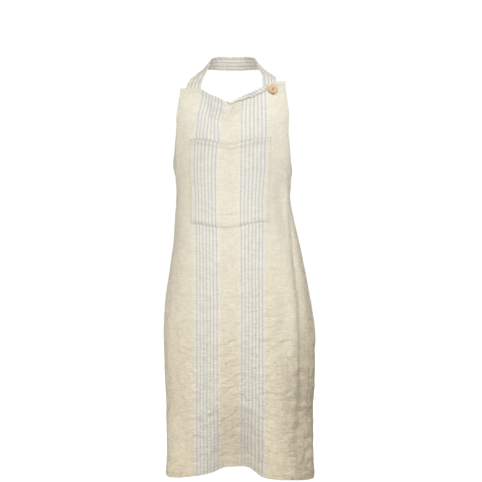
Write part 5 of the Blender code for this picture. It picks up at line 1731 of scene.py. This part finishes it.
def make_knot():
    """A tape pulled tight round the crossing: a pleated, pinched bundle along Y."""
    around, rows = 96, 64
    angle = (2 * np.pi * np.arange(around) / around)[None, :]
    share = (-1 + 2 * np.arange(rows) / (rows - 1))[:, None]
    cosine, sine = np.cos(angle), np.sin(angle)
    shoulder = np.maximum(1 - np.abs(share) ** 3.2, 0) ** 0.55
    fade = 1 - np.abs(share) ** 4
    band = 0.0011 * bell(share - 0.25 * cosine, 0.42)
    pleat = 0.00045 * np.cos(7 * share + 2.2 * sine + 0.8) * fade
    side_pinch = -0.0013 * bell(np.abs(cosine) - 1.0, 0.22) * np.cos(np.pi * share * 0.8)
    crossing = (-0.0010 * bell(sine * 0.9 + 0.35 * share - 0.05, 0.10)
                * np.where(cosine > -0.2, 1, 0.4))
    fine = 0.00016 * np.sin(9 * angle + 11 * share) * fade
    radius = np.maximum(KNOT_R * 0.98 * shoulder
                        + (band + pleat + side_pinch + crossing + fine) * shoulder, 0.0)
    squareness = 1.0 + 0.10 * np.abs(cosine) ** 3
    points = KNOT + xyz(cosine * radius * squareness * 1.02, share * KNOT_L / 2 * 0.97,
                        sine * radius * 1.05)
    verts = [points[0, 0], *points[1:-1].reshape(-1, 3), points[-1, 0]]
    faces = []
    last_ring = 1 + (rows - 3) * around
    for i in range(around):
        after = (i + 1) % around
        faces.append((0, 1 + i, 1 + after))
        faces.append((len(verts) - 1, last_ring + after, last_ring + i))
        for ring in range(1, last_ring, around):
            above = ring + around
            faces.append((ring + i, above + i, above + after, ring + after))
    knot = mesh_from("knot_wrap", verts, faces)
    mesh = bmesh.new()
    mesh.from_mesh(knot.data)
    bmesh.ops.recalc_face_normals(mesh, faces=mesh.faces)
    layer = mesh.loops.layers.uv.new("UVMap")
    for face in mesh.faces:
        for loop in face.loops:
            offset = loop.vert.co - Vector(KNOT)
            loop[layer].uv = (offset.y, math.atan2(offset.z, offset.x) * KNOT_R)
        # a face across the angle's seam is kept in one piece
        turns = [loop[layer].uv[1] for loop in face.loops]
        if max(turns) - min(turns) > KNOT_R * math.pi:
            for loop in face.loops:
                if loop[layer].uv[1] < 0:
                    loop[layer].uv = (loop[layer].uv[0],
                                      loop[layer].uv[1] + 2 * math.pi * KNOT_R)
    mesh.to_mesh(knot.data)
    mesh.free()
    knot.data.shade_smooth()
    dress(knot, M_KNOT, "apron", "tie_linen", "tie_knot")


def make_bow_loop(i, side, sign):
    rows = []
    for k in range(41):
        share = k / 40
        angle = 2 * math.pi * share
        out = math.sin(math.pi * share)
        outgoing = share < 0.5
        reach = (KNOT_R + 0.0012) + (LOOP_L - KNOT_R) * (0.5 - 0.5 * math.cos(angle)) ** 0.72
        swell = 0.0085 * math.sin(angle) * (0.35 + 0.65 * out ** 2)
        gap = 0.0014 * (1 if outgoing else -1) * (1 - out ** 0.6)
        droop = -0.022 * (reach / LOOP_L) ** 2
        half = TIE_W / 2 * (0.42 + 0.58 * ease(0.0, 0.45, out))
        centre = KNOT + np.array([sign * reach, 0.001 + swell + gap, 0.004 + droop])
        gathered = 1 - ease(0.0, 0.62, out)
        pleat = (0.0012 * gathered * np.cos(2.4 * np.pi * FIVE + 0.9 * sign)
                 * (1 if outgoing else -0.4))
        # the loop's far end leans
        lean = sign * 0.0035 * FIVE * out ** 2
        rows.append(centre + xyz(lean, pleat, FIVE * half))
    tape = Tape("bow_loop_tape_" + side, np.array(rows)[:, ::sign], M_BOW, "bow_" + side,
                "bow_loop_" + side, seed=41 + i, closed_ends=(False, False), wobble=0.0003)
    tape.topstitch("bow_topstitch_" + side, start=0.006, end_gap=0.006)


def make_tail(i, side, sign):
    tilt = math.radians(9)
    rows = []
    for k in range(30):
        share = k / 29
        distance = KNOT_R - 0.0008 + share * (TAIL_L[i] + 0.0024)
        sway = 0.0035 * math.sin(2.3 * math.pi * share + i) * share
        # the left tail lies behind the right one
        behind = 0.009 if i else 0.0115 + 0.0038 * ease(0.02, 0.18, share)
        flutter = 0.0010 * math.sin(3.1 * math.pi * share + 2 * i) * ease(0.1, 0.4, share)
        centre = KNOT + np.array([sign * (0.0035 + distance * math.sin(tilt)) + sway,
                                  behind + 0.006 * share + flutter, -distance * math.cos(tilt)])
        half = TIE_W / 2 * (0.30 + 0.70 * ease(0.0, 0.22, share))
        twist = 0.16 * math.sin(1.7 * math.pi * share + 1.3 * i) * ease(0.15, 0.6, share)
        direction = (np.array([math.cos(tilt), 0, sign * math.sin(tilt)]) * math.cos(twist)
                     + np.array([0, math.sin(twist), 0]))
        pleat = 0.0012 * (1 - ease(0.0, 0.30, share)) * np.cos(2.2 * np.pi * FIVE + 0.4 * sign)
        rows.append(centre + direction * half * FIVE[:, None] + xyz(0, pleat, 0))
    tape = Tape("tie_tail_tape_" + side, np.array(rows), M_TAIL, "tail_" + side,
                "tie_tail_" + side, seed=51 + i, closed_ends=(False, True), wobble=0.0005)
    tape.topstitch("tail_topstitch_" + side, start=0.008, end_gap=0.0025)
    tape.end_seam("tail_end_seam_" + side)


# ------------------------------------------------------------------ floor, light, camera
CAMERA_DISTANCE = 2.3
CAMERA_Z = 0.5336
CAMERA_ASIDE = 0.0141      # camera's x before SHIFT
VIEW_WIDTH = 1.1327        # width seen at the camera's distance
SENSOR_WIDTH = 36          # millimetres, as is the lens

# name, location, aim, size, power, colour
LIGHTS = (
    ("key", (0.30, -1.70, 2.25), (0.0, 0.0, 0.72), (1.0, 0.8), 20.5, (1.0, 1.0, 0.985)),
    ("top_right", (1.05, -1.00, 1.45), (0.06, -0.10, 0.66), (0.5, 0.5), 5.2, (1.0, 1.0, 0.985)),
    ("side", (-2.3, -1.15, 0.85), (0.0, 0.0, 0.45), (0.7, 1.2), 13.2, (1.0, 0.965, 0.90)),
    ("front", (-0.20, -2.1, 0.04), (0.0, 0.0, 0.16), (1.0, 0.3), 12.9, (1.0, 0.955, 0.88)),
    ("back", (0.6, 2.2, 1.9), (0.0, 0.0, 0.55), (1.6, 1.2), 24.0, (1.0, 0.99, 0.965)),
)


def make_floor():
    """Pale floor that reads to the camera as bright as the studio behind it."""
    half, z = 8, -0.0006
    mesh = bpy.data.meshes.new("floor")
    mesh.from_pydata([(-half, -half, z), (half, -half, z), (half, half, z), (-half, half, z)],
                     [], [(0, 1, 2, 3)])
    floor = add_object("floor", mesh)
    graph = Material("floor_pale")
    graph.finish({"Base Color": (0.90, 0.895, 0.88), "Roughness": 0.9, "Specular IOR Level": 0.1})
    diffuse = graph.signal("ShaderNodeBsdfDiffuse", {0: (0.30, 0.30, 0.30)})
    glow = graph.signal("ShaderNodeEmission", {0: (1.0, 1.0, 1.0), 1: 0.93})
    seen = graph.signal("ShaderNodeAddShader", {0: diffuse, 1: glow})
    camera_ray = graph.signal("ShaderNodeLightPath", {}, "Is Camera Ray")
    mixed = graph.signal("ShaderNodeMixShader", {
        0: camera_ray, 1: Signal(graph, graph.surface.outputs[0]), 2: seen})
    output = next(node for node in graph.tree.nodes if node.type == "OUTPUT_MATERIAL")
    graph.put(output.inputs["Surface"], mixed)
    mesh.materials.append(graph.mat)


def make_world():
    """Soft surround, brighter from in front and above; the camera sees plain white."""
    world = bpy.data.worlds.new("studio")
    bpy.context.scene.world = world
    world.use_nodes = True
    graph = Graph(world.node_tree)
    surround = graph.tree.nodes["Background"]
    direction = graph.signal("ShaderNodeTexCoord", {}, "Generated")
    facing = graph.node("ShaderNodeVectorMath", {})
    facing.operation = "DOT_PRODUCT"
    graph.fill(facing, {0: direction, 1: (0.0, -0.80, 0.60)})
    strength = graph.signal("ShaderNodeMapRange", {
        "Value": Signal(graph, facing.outputs["Value"]), "From Min": -0.3, "From Max": 1.0,
        "To Min": 0.10, "To Max": 0.44}, "Result")
    graph.fill(surround, {0: (1.0, 0.985, 0.955), 1: strength})
    white = graph.signal("ShaderNodeBackground", {0: (1.0, 1.0, 1.0), 1: 1.05})
    camera_ray = graph.signal("ShaderNodeLightPath", {}, "Is Camera Ray")
    mixed = graph.signal("ShaderNodeMixShader", {
        0: camera_ray, 1: Signal(graph, surround.outputs[0]), 2: white})
    graph.put(graph.tree.nodes["World Output"].inputs["Surface"], mixed)


def make_light(name, location, aim, size, power, colour):
    light = bpy.data.lights.new(name, "AREA")
    light.shape = "RECTANGLE"
    light.size, light.size_y = size
    light.energy = power
    light.color = colour
    ob = add_object(name, light)
    ob.location = location
    direction = Vector(aim) - Vector(location)
    ob.rotation_euler = direction.to_track_quat("-Z", "Y").to_euler()
    ob.visible_camera = False


def make_camera():
    camera = bpy.data.cameras.new("camera")
    ob = add_object("camera", camera)
    camera.sensor_width = SENSOR_WIDTH
    camera.sensor_fit = "HORIZONTAL"
    camera.lens = SENSOR_WIDTH / VIEW_WIDTH * CAMERA_DISTANCE
    camera.clip_end = 50
    ob.location = (CAMERA_ASIDE + SHIFT[0], -CAMERA_DISTANCE, CAMERA_Z)
    ob.rotation_euler = (math.pi / 2, 0, 0)
    bpy.context.scene.camera = ob
    view = bpy.context.scene.view_settings
    view.view_transform = "Standard"
    view.look = "None"
    view.exposure = 0.0
    view.gamma = 1.0


# ------------------------------------------------------------------ build
make_panel()
make_pocket()
make_pocket_seams()
make_panel_seams()
make_pocket_tacks()
make_buttonhole()
make_strap()
BUTTON_FRAME = button_frame()
make_button(BUTTON_FRAME)
make_button_thread(BUTTON_FRAME)
for number, (side_name, side_sign) in enumerate(SIDES):
    make_waist_tie(number, side_name, side_sign)
make_knot()
for make_piece in (make_bow_loop, make_tail):
    for number, (side_name, side_sign) in enumerate(SIDES):
        make_piece(number, side_name, side_sign)
make_floor()
make_world()
for light_row in LIGHTS:
    make_light(*light_row)
make_camera()
